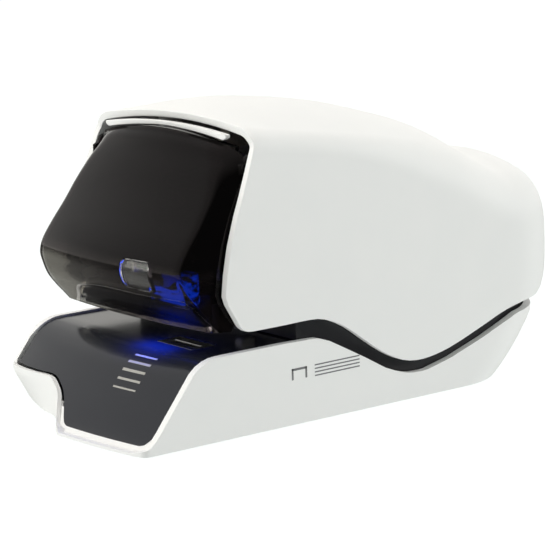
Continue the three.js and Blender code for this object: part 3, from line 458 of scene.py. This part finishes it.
def board():
    """Solder mask with tracks, vias and bare pads."""
    material, nodes, links, shader = new_material("circuit_board")
    vector = object_coordinates(nodes, links)
    tracks = nodes.new("ShaderNodeTexBrick")
    tracks.inputs["Scale"].default_value = 1 / (9 * MM)
    tracks.inputs["Mortar Size"].default_value = 0.03
    tracks.inputs["Color1"].default_value = (0.010, 0.11, 0.045, 1)
    tracks.inputs["Color2"].default_value = (0.014, 0.14, 0.055, 1)
    tracks.inputs["Mortar"].default_value = (0.03, 0.24, 0.09, 1)
    links.new(vector, tracks.inputs["Vector"])
    cells = nodes.new("ShaderNodeTexVoronoi")
    cells.inputs["Scale"].default_value = 1 / (4 * MM)
    links.new(vector, cells.inputs["Vector"])
    pads = ramp(nodes, links, cells.outputs["Distance"], 0.10, 0.14, 1, 0)
    colour = mixed(nodes, links, pads, tracks.outputs["Color"], (0.62, 0.60, 0.56))
    links.new(colour, shader.inputs["Base Color"])
    links.new(ramp(nodes, links, pads, 0, 1, 0.45, 0.25), shader.inputs["Roughness"])
    bumped(nodes, links, shader, tracks.outputs["Fac"], 0.3, 0.03 * MM)
    return material


def painted_glow():
    """A glowing bar of painted light: bright streaks of painted glow in deep blue."""
    material, nodes, links, shader = new_material("painted_blue_glow")
    painted_streaks = noise(nodes, links, object_coordinates(nodes, links, (0.25, 1, 1)), 1 / (1.6 * MM), 3)
    links.new(mixed(nodes, links, painted_streaks, (0.0, 0.01, 0.05), (0.01, 0.04, 0.2)), shader.inputs["Base Color"])
    links.new(ramp(nodes, links, painted_streaks, 0.3, 0.7, 0.2, 0.4), shader.inputs["Roughness"])
    shader.inputs["Emission Color"].default_value = (0, 0.045, 0.8, 1)
    # Painted light: the bars glow in streaks though they hold no lamp.
    links.new(ramp(nodes, links, painted_streaks, 0.44, 0.56, 0.05, 3.6), shader.inputs["Emission Strength"])
    return material


def lit_lens():
    material, nodes, links, shader = new_material("blue_led")
    vector = object_coordinates(nodes, links)
    fine = noise(nodes, links, vector, 1 / (1.2 * MM), 2)
    links.new(mixed(nodes, links, fine, (0.02, 0.08, 0.8), (0.05, 0.16, 1.0)), shader.inputs["Base Color"])
    links.new(ramp(nodes, links, fine, 0.3, 0.7, 0.08, 0.2), shader.inputs["Roughness"])
    shader.inputs["Emission Color"].default_value = (0, 0.03, 0.6, 1)
    shader.inputs["Emission Strength"].default_value = 1.0
    return material


SMOKED = smoked()
CLEAR = clear_plastic("clear", (0.80, 0.77, 0.74))
BOARD = board()
LED = lit_lens()
PAINTED_GLOW = painted_glow()
BY_SLOT = {"white_shell": WHITE, "deck_grey": DECK, "frame_dark": FRAME_DARK, "black_plastic": BLACK,
           "acetal": ACETAL, "rubber": RUBBER, "steel": STEEL, "brass": BRASS, "smoked_clear": SMOKED,
           "clear": CLEAR, "circuit_board": BOARD, "blue_led": LED}


# ------------------------------------------------------------------ top shell
def rim_y(z):
    return straight(RIM, z)


def shell_half(y, bottom, side_steps=14, arc_steps=12, crown_steps=12):
    """Right half of the shell's cross-section at y, from its lower edge up to the crest, as [x, z]."""
    w = HALF_W - draw_in(TAIL_R, y - (TAIL_END - TAIL_R))
    crest = along(CREST, y) - SKIN_GAP - draw_in(TAIL_TOP_R, y - (TAIL_END - TAIL_TOP_R))
    r = min(max(along(SHOULDER, y), 2.6), w - 2)
    crown = along(CROWN, y) * min(1, w / 30)
    lean = math.atan(crown * 2 / w)
    for _ in range(3):
        lean = math.atan(2 * crown / (w - r + r * math.sin(lean)))
    arc_z = crest - crown - r * math.cos(lean)
    draft = math.atan(DRAFT)
    knee = min(DRAFT_FROM, arc_z - 4)
    arc_x = w - r * math.cos(draft) - DRAFT * (arc_z + r * math.sin(draft) - knee)
    join_x = arc_x + r * math.sin(lean)
    arc_start = arc_z + r * math.sin(draft)
    blend = min(10, arc_start - knee)
    bottom = min(bottom, knee - 2)
    points = []
    for i in range(side_steps):
        z = bottom + (arc_start - bottom) * (i / side_steps) ** 1.5
        past = z - knee
        eased = past
        if past < blend / 2:
            eased = max(past + blend / 2, 0) ** 2 / (2 * blend)
        points.append([w - DRAFT * eased, z])
    for i in range(arc_steps + 1):
        a = draft + (math.pi / 2 - lean - draft) * i / arc_steps
        points.append([arc_x + r * math.cos(a), arc_z + r * math.sin(a)])
    for i in range(1, crown_steps + 1):
        x = join_x * (1 - i / crown_steps)
        points.append([x, crest - crown * (x / join_x) ** 2])
    return points


def shell_point(y, i):
    return shell_half(y, along(EDGE, y))[i]


def shell_rows():
    """Rows of the shell's right half, front to rear, as [x, y, z]."""
    count = len(shell_half(FRONT_ZONE, along(EDGE, FRONT_ZONE)))
    rim = []
    for i in range(count):
        y = EDGE[0][0] if i == 0 else 42.0
        for _ in range(12 if i else 0):
            y = lerp(y, rim_y(shell_point(max(y, EDGE[0][0] - 5), i)[1]), 0.7)
        rim.append(y)
    front_steps = 14
    rows = []
    for j in range(front_steps + 1):
        f = (j / front_steps) ** 1.3
        row = []
        for i in range(count):
            y = lerp(rim[i], FRONT_ZONE, f)
            x, z = shell_point(y, i)
            row.append([x, y, z])
        rows.append(row)
    straight_end = TAIL_END - TAIL_R
    steps = 32
    stations = [lerp(FRONT_ZONE, straight_end, j / steps) for j in range(1, steps + 1)]
    turns = 20
    stations += [straight_end + TAIL_R * math.sin(math.pi / 2 * j / turns) for j in range(1, turns + 1)]
    for y in stations:
        row = []
        for x, z in shell_half(y, along(EDGE, y)):
            tuck = (TAIL_END - along(TAIL_UNDER, z)) * clamp((y - straight_end) / TAIL_R)
            row.append([x, y - tuck, z])
        rows.append(row)
    return rows


def shell_posts():
    """Screw posts under the shell's roof, each with a pilot hole."""
    for k, (x, y) in enumerate(SHELL_POSTS):
        roof = next(pz for px, pz in reversed(shell_half(y, along(EDGE, y))) if px >= abs(x) + POST_R) - 1
        profile = [(PILOT_R, POST_FOOT + PILOT_DEPTH), (PILOT_R, POST_FOOT + 0.3), (PILOT_R + 0.3, POST_FOOT),
                   (POST_R - 0.3, POST_FOOT), (POST_R, POST_FOOT + 0.3), (POST_R, roof)]
        post = outward(turned(f"shell_post_{k + 1}", profile, (x, y, 0)))
        post.data.materials.append(WHITE)
        post.data.shade_smooth()
        post.data.set_sharp_from_angle(angle=math.radians(40))
        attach(post, "chassis")


def top_shell():
    """The upper housing: both halves of the rows joined, its rear end closed, and given a wall."""
    rows = shell_rows()
    half = len(rows[0])
    full = [row + [[-x, y, z] for x, y, z in reversed(row[:-1])] for row in rows]
    columns = 2 * half - 1
    points = [p for row in full for p in row]
    faces = [tuple(reversed(face)) for face in grid_faces(len(full), columns)]
    last = (len(full) - 1) * columns
    faces += [(last + i, last + columns - 1 - i, last + columns - 2 - i, last + i + 1)
              for i in range(half - 2)]
    faces.append((last + half - 2, last + half, last + half - 1))
    shell = piece("shell_skin", points, faces, WHITE)
    modifier(shell, "SOLIDIFY", thickness=WALL * MM, offset=-1, use_even_offset=True)
    bake(shell)
    carve(shell, rounded_box("inlet_tool", *INLET_OPENING, 2.0))
    finish_edges(shell, 0.5, 3, 40)
    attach(shell, "chassis")
    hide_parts("top_shell")


# ------------------------------------------------------------------ base
def bow(x, y):
    return FRONT_BOW * (1 - (x / HALF_W) ** 2) * clamp((30 - y) / 12) if y < 30 else 0


def unbow(x, y):
    """Distance along the side outline of a point that stands at y, once the front has been bowed."""
    s = y
    for _ in range(20):
        s = y + bow(x, s)
    return s


def rim_height(s):
    """Top edge of the base at distance s along its side."""
    lip = [(0, 0.9), (0.5, 1.6), (2.6, 2.4)]
    slope = [(y - 0.48, z + 0.6) for y, z in DECK_FRONT[1:-1]]
    knots = lip + slope + BASE_TOP
    return straight(knots, clamp(s, 0, 185))


def base_outline(z):
    """The base's outline at height z, anticlockwise seen from above, starting at the right front corner."""
    share = clamp(z / NOTCH_RISE)
    corner = BASE_CORNER
    points = []
    for k in range(7):
        a = -math.pi / 2 + math.pi / 2 * k / 6
        points.append((BASE_HALF_W - corner + corner * math.cos(a), corner + corner * math.sin(a)))
    rear = along(BASE_REAR, z)
    steps = 60
    points += [(BASE_HALF_W, lerp(corner + 2, rear - TAIL_R, (i / steps))) for i in range(steps)]
    arc = 18
    right = [(BASE_HALF_W - TAIL_R + TAIL_R * math.cos(math.pi / 2 * i / arc),
              rear - TAIL_R + TAIL_R * math.sin(math.pi / 2 * i / arc)) for i in range(arc + 1)]
    points += right + [(-x, y) for x, y in reversed(right)]
    notch = [(x, max(lerp(floor, top, share), -bow(x, 0)))
             for (x, top), (_, floor) in zip(NOTCH_TOP_AT, NOTCH_FLOOR_AT)]
    notch = notch[1:]
    turn = NOTCH_CORNER
    left_start = notch[0][1] + turn
    points += [(-BASE_HALF_W, lerp(rear - TAIL_R, left_start + 1, i / steps)) for i in range(1, steps + 1)]
    points += [(-BASE_HALF_W + turn * (1 - math.cos(a)), left_start - turn * math.sin(a))
               for a in (math.pi / 2 * k / 6 for k in range(6))]
    points += notch
    front = 24
    start = notch[-1][0]
    for i in range(1, front):
        x = lerp(start, HALF_W - corner, i / front)
        points.append((x, -bow(x, 0)))
    return points


def notch_samples():
    first = -BASE_HALF_W + NOTCH_CORNER
    xs = [lerp(first, 6, i / 40) for i in range(-1, 41)]
    top = [(x, along(NOTCH_TOP, x)) for x in xs]
    floor = [(x, along(NOTCH_FLOOR, x)) for x in xs]
    return top, floor


NOTCH_TOP_AT, NOTCH_FLOOR_AT = notch_samples()


def beside_notch(p):
    """0 along the cut-away at the left front corner, where the wall is thin, and 1 everywhere else."""
    return 1 if p.x > 3 else clamp((p.y - along(NOTCH_FLOOR, p.x) - 1) / 3)


def base_skirt():
    """The lower housing's wall, which follows the outline at each height up to the rim."""
    rows = 9
    count = len(base_outline(0))
    points = []
    tops = []
    for i in range(count):
        z = 5.0
        for _ in range(12):
            x, y = base_outline(z)[i]
            z = rim_height(unbow(x, y))
        tops.append(z)
    for r in range(rows + 1):
        f = r / rows
        for i in range(count):
            x, y = base_outline(0)[i]
            low = -1.5 * clamp(y / 185)
            z = lerp(low, tops[i], f)
            x, y = base_outline(z)[i]
            points.append((x, y, z))
    skirt = piece("base_skirt", points, grid_faces(rows + 1, count, closed=True), WHITE)
    thickened(skirt, WALL, NOTCH_WALL, beside_notch, even=False)
    finish_edges(skirt, 0.6, 3, 40)
    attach(skirt, "chassis")
    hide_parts("base_housing")


def front_ledge():
    """The white ledge that shows between the base's front lip and the deck, round the deck's right corner."""
    rows, columns = 8, 60
    points = []
    for r in range(rows + 1):
        for c in range(columns + 1):
            x = lerp(-6, 42.6, c / columns)
            s = lerp(1.6, DECK_START + DECK_CORNER + 1, r / rows)
            y = s - bow(x, 3)
            if x < 6:
                y = max(y, along(NOTCH_TOP, x) + 0.5 + 0.1 * r)
            s = unbow(x, y)
            points.append((x, y, deck_height(s) - 0.05 - 0.4 * clamp((s - 4.5) / 2)))
    web = piece("front_ledge", points, grid_faces(rows + 1, columns + 1), WHITE)
    modifier(web, "SOLIDIFY", thickness=LEDGE_THICKNESS * MM, offset=-1)
    bake(web)
    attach(web, "chassis")


def deck_height(s):
    return straight(DECK_FRONT, s)


def deck():
    """The paper deck: a skin across the base from its front lip to the throat's rear wall."""
    columns = 56
    rows = 44
    points = []
    for r in range(rows + 1):
        for c in range(columns + 1):
            x = lerp(-DECK_HALF, DECK_HALF, c / columns)
            front = DECK_START - bow(x, 3)
            front += draw_in(DECK_CORNER, x - (DECK_HALF - DECK_CORNER))
            if x < 6.8:
                front = max(front, along(NOTCH_TOP, x - 1.1) + NOTCH_WALL + 0.2)
            f = (r / rows) ** 1.4
            y = lerp(front, THROAT_REAR, f)
            s = unbow(x, y)
            points.append((x, y, deck_height(max(s, DECK_START))))
    made = piece("deck_skin", points, grid_faces(rows + 1, columns + 1), DECK)
    modifier(made, "SOLIDIFY", thickness=DECK_THICKNESS * MM, offset=-1, use_even_offset=True)
    bake(made)
    carve(made, rounded_box("anvil_tool", *ANVIL_OPENING, 0.6, axis="z"))
    finish_edges(made, 0.3, 2, 40)
    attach(made, "chassis")
    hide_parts("deck_plate")


# ------------------------------------------------------------------ visor
def visor_station(z):
    """Face corner, rear end, bow and rise of the visor's cross-section at height z."""
    return [along([(s[0], s[k]) for s in VISOR], z) for k in range(1, 7)]


def visor_row(z, face_steps=40, side_steps=10, corner_r=2.6):
    """One row of the visor's outer face from its right rear end round the front to the left."""
    cx, cy, ex, ey, bowed, rise = visor_station(z)

    def face(x):
        return cy - bowed * (1 - (x / cx) ** 2)

    side = Vector((ex - cx, ey - cy)).normalized()
    start = Vector((cx, cy)) + side * corner_r
    end_x = cx - corner_r
    end = Vector((end_x, face(end_x)))
    corner = Vector((cx, cy))
    half = []
    for i in range(side_steps):
        f = i / side_steps
        p = Vector((ex, ey)).lerp(start, f)
        half.append(p)
    for i in range(7):
        t = i / 6
        half.append(start.lerp(corner, t).lerp(corner.lerp(end, t), t))
    for i in range(1, face_steps // 2 + 1):
        x = end_x * (1 - i / (face_steps // 2))
        half.append(Vector((x, face(x))))
    row = half + [Vector((-p.x, p.y)) for p in reversed(half[:-1])]
    return [(p.x, p.y, z + 0.3 * rise - rise * (p.x / ex) ** 2) for p in row]


def visor_skin(low, high, steps):
    return [visor_row(lerp(low, high, i / steps)) for i in range(steps + 1)]


def window_tool(name, grow, depth=(10, 24)):
    (x0, x1), (z0, z1) = WINDOW
    return rounded_box(name, (x0 - grow, depth[0], z0 - grow), (x1 + grow, depth[1], z1 + grow), 1.6 + grow)


def visor():
    """The smoked visor, a skin given a wall, with an opening for its window."""
    rows = visor_skin(31.1, VISOR_TOP, 64)
    count = len(rows[0])
    faces = grid_faces(len(rows), count)
    skin = piece("visor_skin", [p for row in rows for p in row], [tuple(reversed(f)) for f in faces],
                 SMOKED)
    modifier(skin, "SOLIDIFY", thickness=VISOR_WALL * MM, offset=-1, use_even_offset=True)
    bake(skin)
    carve(skin, window_tool("window_tool", 0.15))
    finish_edges(skin, 0.35, 2, 45)
    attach(skin, "visor")
    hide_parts("visor")


def roof_at(x, y):
    """Height of the shell's outside at x on its roof."""
    points = shell_half(y, along(EDGE, y))
    k = next(k for k in range(len(points) - 1, 0, -1) if points[k - 1][0] >= abs(x))
    (x0, z0), (x1, z1) = points[k], points[k - 1]
    return lerp(z0, z1, clamp((abs(x) - x0) / (x1 - x0)))


def visor_trim():
    """The white strip along the visor's top edge, which closes most of the gap under the shell's lip."""
    steps = 40
    points = []
    for i in range(steps + 1):
        x = lerp(-TRIM_HALF, TRIM_HALF, i / steps)
        top = roof_at(x, 44.6) - SKIN_GAP - WALL - 0.25
        low = top - lerp(1.25, 1.9, clamp(abs(x) / TRIM_HALF)) * (1 - clamp((abs(x) - TRIM_HALF + 1.5) / 3))
        points += [(x, TRIM_FRONT, top), (x, TRIM_FRONT, low), (x, TRIM_REAR, low), (x, TRIM_REAR, top)]
    last = 4 * steps
    faces = grid_faces(steps + 1, 4, closed=True) + [(3, 2, 1, 0), (last, last + 1, last + 2, last + 3)]
    trim = outward(piece("visor_trim", points, faces, WHITE))
    finish_edges(trim, 0.25, 3, 45)
    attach(trim, "visor")


def visor_ears():
    """Two hinge ears behind the visor's upper corners, each with a hole for its pin."""
    y0, z0 = VISOR_AXIS
    steps = 24
    arc = [math.pi * (-0.5 + 1.45 * i / steps) for i in range(steps + 1)]
    outline = [(y0 + EAR_R * math.cos(a), z0 + EAR_R * math.sin(a)) for a in arc] + [(42, 79.5), (42, 76.4)]
    for side, name in ((-1, "left"), (1, "right")):
        points = [(side * x, y, z) for x in (EAR_FROM, EAR_TO) for y, z in outline]
        n = len(outline)
        faces = grid_faces(2, n, closed=True) + [tuple(reversed(range(n))), tuple(range(n, 2 * n))]
        ear = outward(piece(f"visor_ear_{name}", points, faces, SMOKED))
        hole = [(PIN_R + 0.4, side * (EAR_FROM - 1.5)), (PIN_R + 0.4, side * (EAR_TO + 1.9))]
        carve(ear, outward(turned("ear_tool", hole, (0, y0, z0), axis="x", sides=32)))
        finish_edges(ear, 0.2, 2, 45)
        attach(ear, "visor")


def visor_window():
    """The clear pane that fills the visor's opening with a hairline gap round it."""
    rows = visor_skin(41.5, 53.5, 20)
    count = len(rows[0])
    faces = grid_faces(len(rows), count)
    pane = piece("window_pane", [p for row in rows for p in row], [tuple(reversed(f)) for f in faces],
                 CLEAR)
    modifier(pane, "SOLIDIFY", thickness=VISOR_WALL * MM, offset=-1, use_even_offset=True)
    bake(pane)
    carve(pane, window_tool("pane_tool", -0.1), "INTERSECT")
    finish_edges(pane, 0.25, 2, 45)
    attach(pane, "visor")
    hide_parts("visor_window")


def painted_glow_bars():
    """Two glowing bars of painted light behind the visor's lower face: one along the staple path and one at
    its right end.
    """
    spans = [("cassette", (7, 30.7, 36.6), (29.5, 32.2, 41.2)),
             ("chassis", (26.4, 27.2, 41.9), (32.2, 30, 48.2))]
    for k, (body, low, high) in enumerate(spans):
        guide = rounded_box(f"painted_glow_bar_{k + 1}", low, high, 0.6)
        guide.data.materials.append(PAINTED_GLOW)
        finish_edges(guide, 0.2, 2, 45)
        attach(guide, body)


# ------------------------------------------------------------------ marks
def deck_marks():
    """Five printed bars on the deck's slope that show how far paper goes in."""
    points, faces = [], []
    for middle, half in MARKS:
        for height in (-MARK_SUNK, MARK_LIFT):
            for i in range(9):
                x = lerp(*MARK_SPAN, i / 8)
                for s in (middle - half, middle + half):
                    points.append((x, s - bow(x, s), deck_height(s) + height))
        base = len(points) - 36
        top = base + 18
        for i in range(8):
            a = top + 2 * i
            faces.append((a, a + 2, a + 3, a + 1))
            b = base + 2 * i
            faces.append((b, b + 1, b + 3, b + 2))
            faces.append((b, b + 2, a + 2, a))
            faces.append((b + 1, a + 1, a + 3, b + 3))
        faces.append((base, top, top + 1, base + 1))
        faces.append((base + 16, base + 17, top + 17, top + 16))
    made = piece("deck_marks", points, faces, INK)
    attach(made, "chassis")


def side_picture():
    """A printed picture of a staple above a stack of sheets, on the base's right side."""
    strokes = [(55, 16.2, 61, 16.9), (55, 13.4, 55.7, 16.9), (60.3, 13.4, 61, 16.9)]
    strokes += [(64, 13.2 + 1.1 * k, 82, 13.6 + 1.1 * k) for k in range(4)]
    for k, (y0, z0, y1, z1) in enumerate(strokes):
        stroke = rounded_box(f"side_print_{k + 1}", (BASE_HALF_W - 0.2, y0, z0), (BASE_HALF_W + 0.03, y1, z1),
                             0.15, axis="x")
        stroke.data.materials.append(GREY_INK)
        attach(stroke, "chassis")


# ------------------------------------------------------------------ carried-over solids
def dress_nodes():
    """Every solid that still shows gets its slot's material and softened edges."""
    slots = {entry["node"]: entry["material_slot"] for entry in frame["record"]["subparts"]
             if "node" in entry}
    for name, node in NODES.items():
        if node.hide_render:
            continue
        material = BY_SLOT[slots.get(name, "steel")]
        node.data.materials.clear()
        node.data.materials.append(material)
        modifier(node, "WELD", merge_threshold=0.01 * MM)
        modifier(node, "BEVEL", width=0.2 * MM, segments=2, limit_method="ANGLE",
                 angle_limit=math.radians(40), use_clamp_overlap=True)
        node.data.shade_smooth()
        node.data.set_sharp_from_angle(angle=math.radians(35))


top_shell()
shell_posts()
base_skirt()
front_ledge()
deck()
visor()
visor_ears()
visor_window()
visor_trim()
painted_glow_bars()
deck_marks()
side_picture()
dress_nodes()


# ------------------------------------------------------------------ stage, light and camera
def white_floor():
    material, nodes, links, shader = new_material("studio_floor")
    vector = object_coordinates(nodes, links)
    fine = noise(nodes, links, vector, 30, 3)
    links.new(mixed(nodes, links, fine, (0.04, 0.04, 0.04), (0.05, 0.05, 0.05)), shader.inputs["Base Color"])
    shader.inputs["Roughness"].default_value = 1.0
    shader.inputs["Specular IOR Level"].default_value = 0.0
    shader.inputs["Emission Color"].default_value = (0.965, 1, 0.985, 1)
    shader.inputs["Emission Strength"].default_value = 1.02
    mesh = bpy.data.meshes.new("floor")
    corners = [(x * FLOOR_REACH, y * FLOOR_REACH, 0) for x, y in ((-1, -1), (1, -1), (1, 1), (-1, 1))]
    mesh.from_pydata(corners, [], [(0, 1, 2, 3)])
    mesh.materials.append(material)
    floor = bpy.data.objects.new("floor", mesh)
    bpy.context.scene.collection.objects.link(floor)
    floor.visible_glossy = False


def backdrop():
    """A white wall far round the object, seen but neither lighting nor mirrored."""
    sides, radius, height = 64, 7.5, 8.0
    ring = [(radius * math.cos(2 * math.pi * k / sides), radius * math.sin(2 * math.pi * k / sides))
            for k in range(sides)]
    mesh = bpy.data.meshes.new("backdrop")
    mesh.from_pydata([(x, y, z) for z in (0, height) for x, y in ring], [], grid_faces(2, sides, closed=True))
    mesh.materials.append(bpy.data.materials["studio_floor"])
    wall = bpy.data.objects.new("backdrop", mesh)
    bpy.context.scene.collection.objects.link(wall)
    wall.visible_glossy = False
    wall.visible_diffuse = False
    wall.visible_shadow = False


def area_light(name, position, target, size, power, colour=(1, 1, 1)):
    data = bpy.data.lights.new(name, "AREA")
    data.shape = "RECTANGLE"
    data.size, data.size_y = size
    data.energy = power
    data.color = colour
    lamp = bpy.data.objects.new(name, data)
    bpy.context.scene.collection.objects.link(lamp)
    lamp.location = position
    lamp.rotation_euler = (Vector(target) - Vector(position)).to_track_quat("-Z", "Y").to_euler()
    return lamp


def sky():
    """A soft warm surround that is dark below the horizon and brightest just above it."""
    world = bpy.data.worlds.new("studio")
    world.use_nodes = True
    nodes, links = world.node_tree.nodes, world.node_tree.links
    coord = nodes.new("ShaderNodeTexCoord")
    axes = nodes.new("ShaderNodeSeparateXYZ")
    links.new(coord.outputs["Generated"], axes.inputs[0])
    levels = nodes.new("ShaderNodeValToRGB")
    stops = [(0.49, (0, 0, 0)), (0.51, (0.95, 0.92, 0.87)), (0.60, (0.80, 0.785, 0.75)),
             (0.68, (0.60, 0.595, 0.58))]
    for k, (position, colour) in enumerate(stops):
        stop = levels.color_ramp.elements[k] if k < 2 else levels.color_ramp.elements.new(position)
        stop.position = position
        stop.color = (*colour, 1)
    links.new(ramp(nodes, links, axes.outputs["Z"], -1, 1, 0, 1), levels.inputs[0])
    left = mixed(nodes, links, ramp(nodes, links, axes.outputs["X"], -0.35, 0.1, 1, 0),
                 (0.015, 0.015, 0.015), (0.22, 0.215, 0.20))
    above = ramp(nodes, links, axes.outputs["Z"], -0.01, 0.01, 0, 1)
    lit = mixed(nodes, links, ramp(nodes, links, axes.outputs["X"], 0.1, 0.6, 0, 1), levels.outputs[0],
                (0.10, 0.10, 0.10))
    links.new(mixed(nodes, links, above, left, lit), nodes["Background"].inputs[0])
    bpy.context.scene.world = world


def studio():
    """White surroundings, three soft lamps and the blue lamp that lights the deck."""
    white_floor()
    backdrop()
    sky()
    key = area_light("key", (-0.55, -0.6, 1.65), (0, 0, 0.04), (1.4, 1.4), 22, (1, 0.975, 0.945))
    fill = area_light("fill", (0.9, 1.25, 0.75), (0, 0, 0.04), (1.2, 1.0), 15, (0.98, 1, 0.99))
    front = area_light("front", (-0.9, -1.3, 0.35), (0, 0, 0.04), (1.0, 0.6), 5, (1, 1, 0.97))
    for lamp in (key, fill, front):
        lamp.visible_glossy = False
    spot = place(LED_SPOT)
    glow = area_light("led_glow", spot, spot - Vector((0, 0, 1)), (0.015, 0.005), 0.011, (0.0, 0.05, 1))
    glow.visible_camera = False
    glow.visible_glossy = False
    bpy.context.scene.view_settings.view_transform = "Standard"


def camera():
    """A long-lens view from the front right, a little above the deck."""
    azimuth, elevation, roll = (math.radians(v) for v in CAMERA_DEGREES)
    back = Vector((math.sin(azimuth) * math.cos(elevation), -math.cos(azimuth) * math.cos(elevation),
                   math.sin(elevation)))
    right = (-back).cross(Vector((0, 0, 1))).normalized()
    up = right.cross(-back)
    across = right * math.cos(roll) + up * math.sin(roll)
    upward = up * math.cos(roll) - right * math.sin(roll)
    data = bpy.data.cameras.new("camera")
    data.sensor_width = 36
    data.lens = CAMERA_LENS
    made = bpy.data.objects.new("camera", data)
    bpy.context.scene.collection.objects.link(made)
    turn = Matrix((across, upward, back)).transposed().to_4x4()
    made.matrix_world = Matrix.Translation(CAMERA_AT) @ turn
    bpy.context.scene.camera = made


studio()
camera()
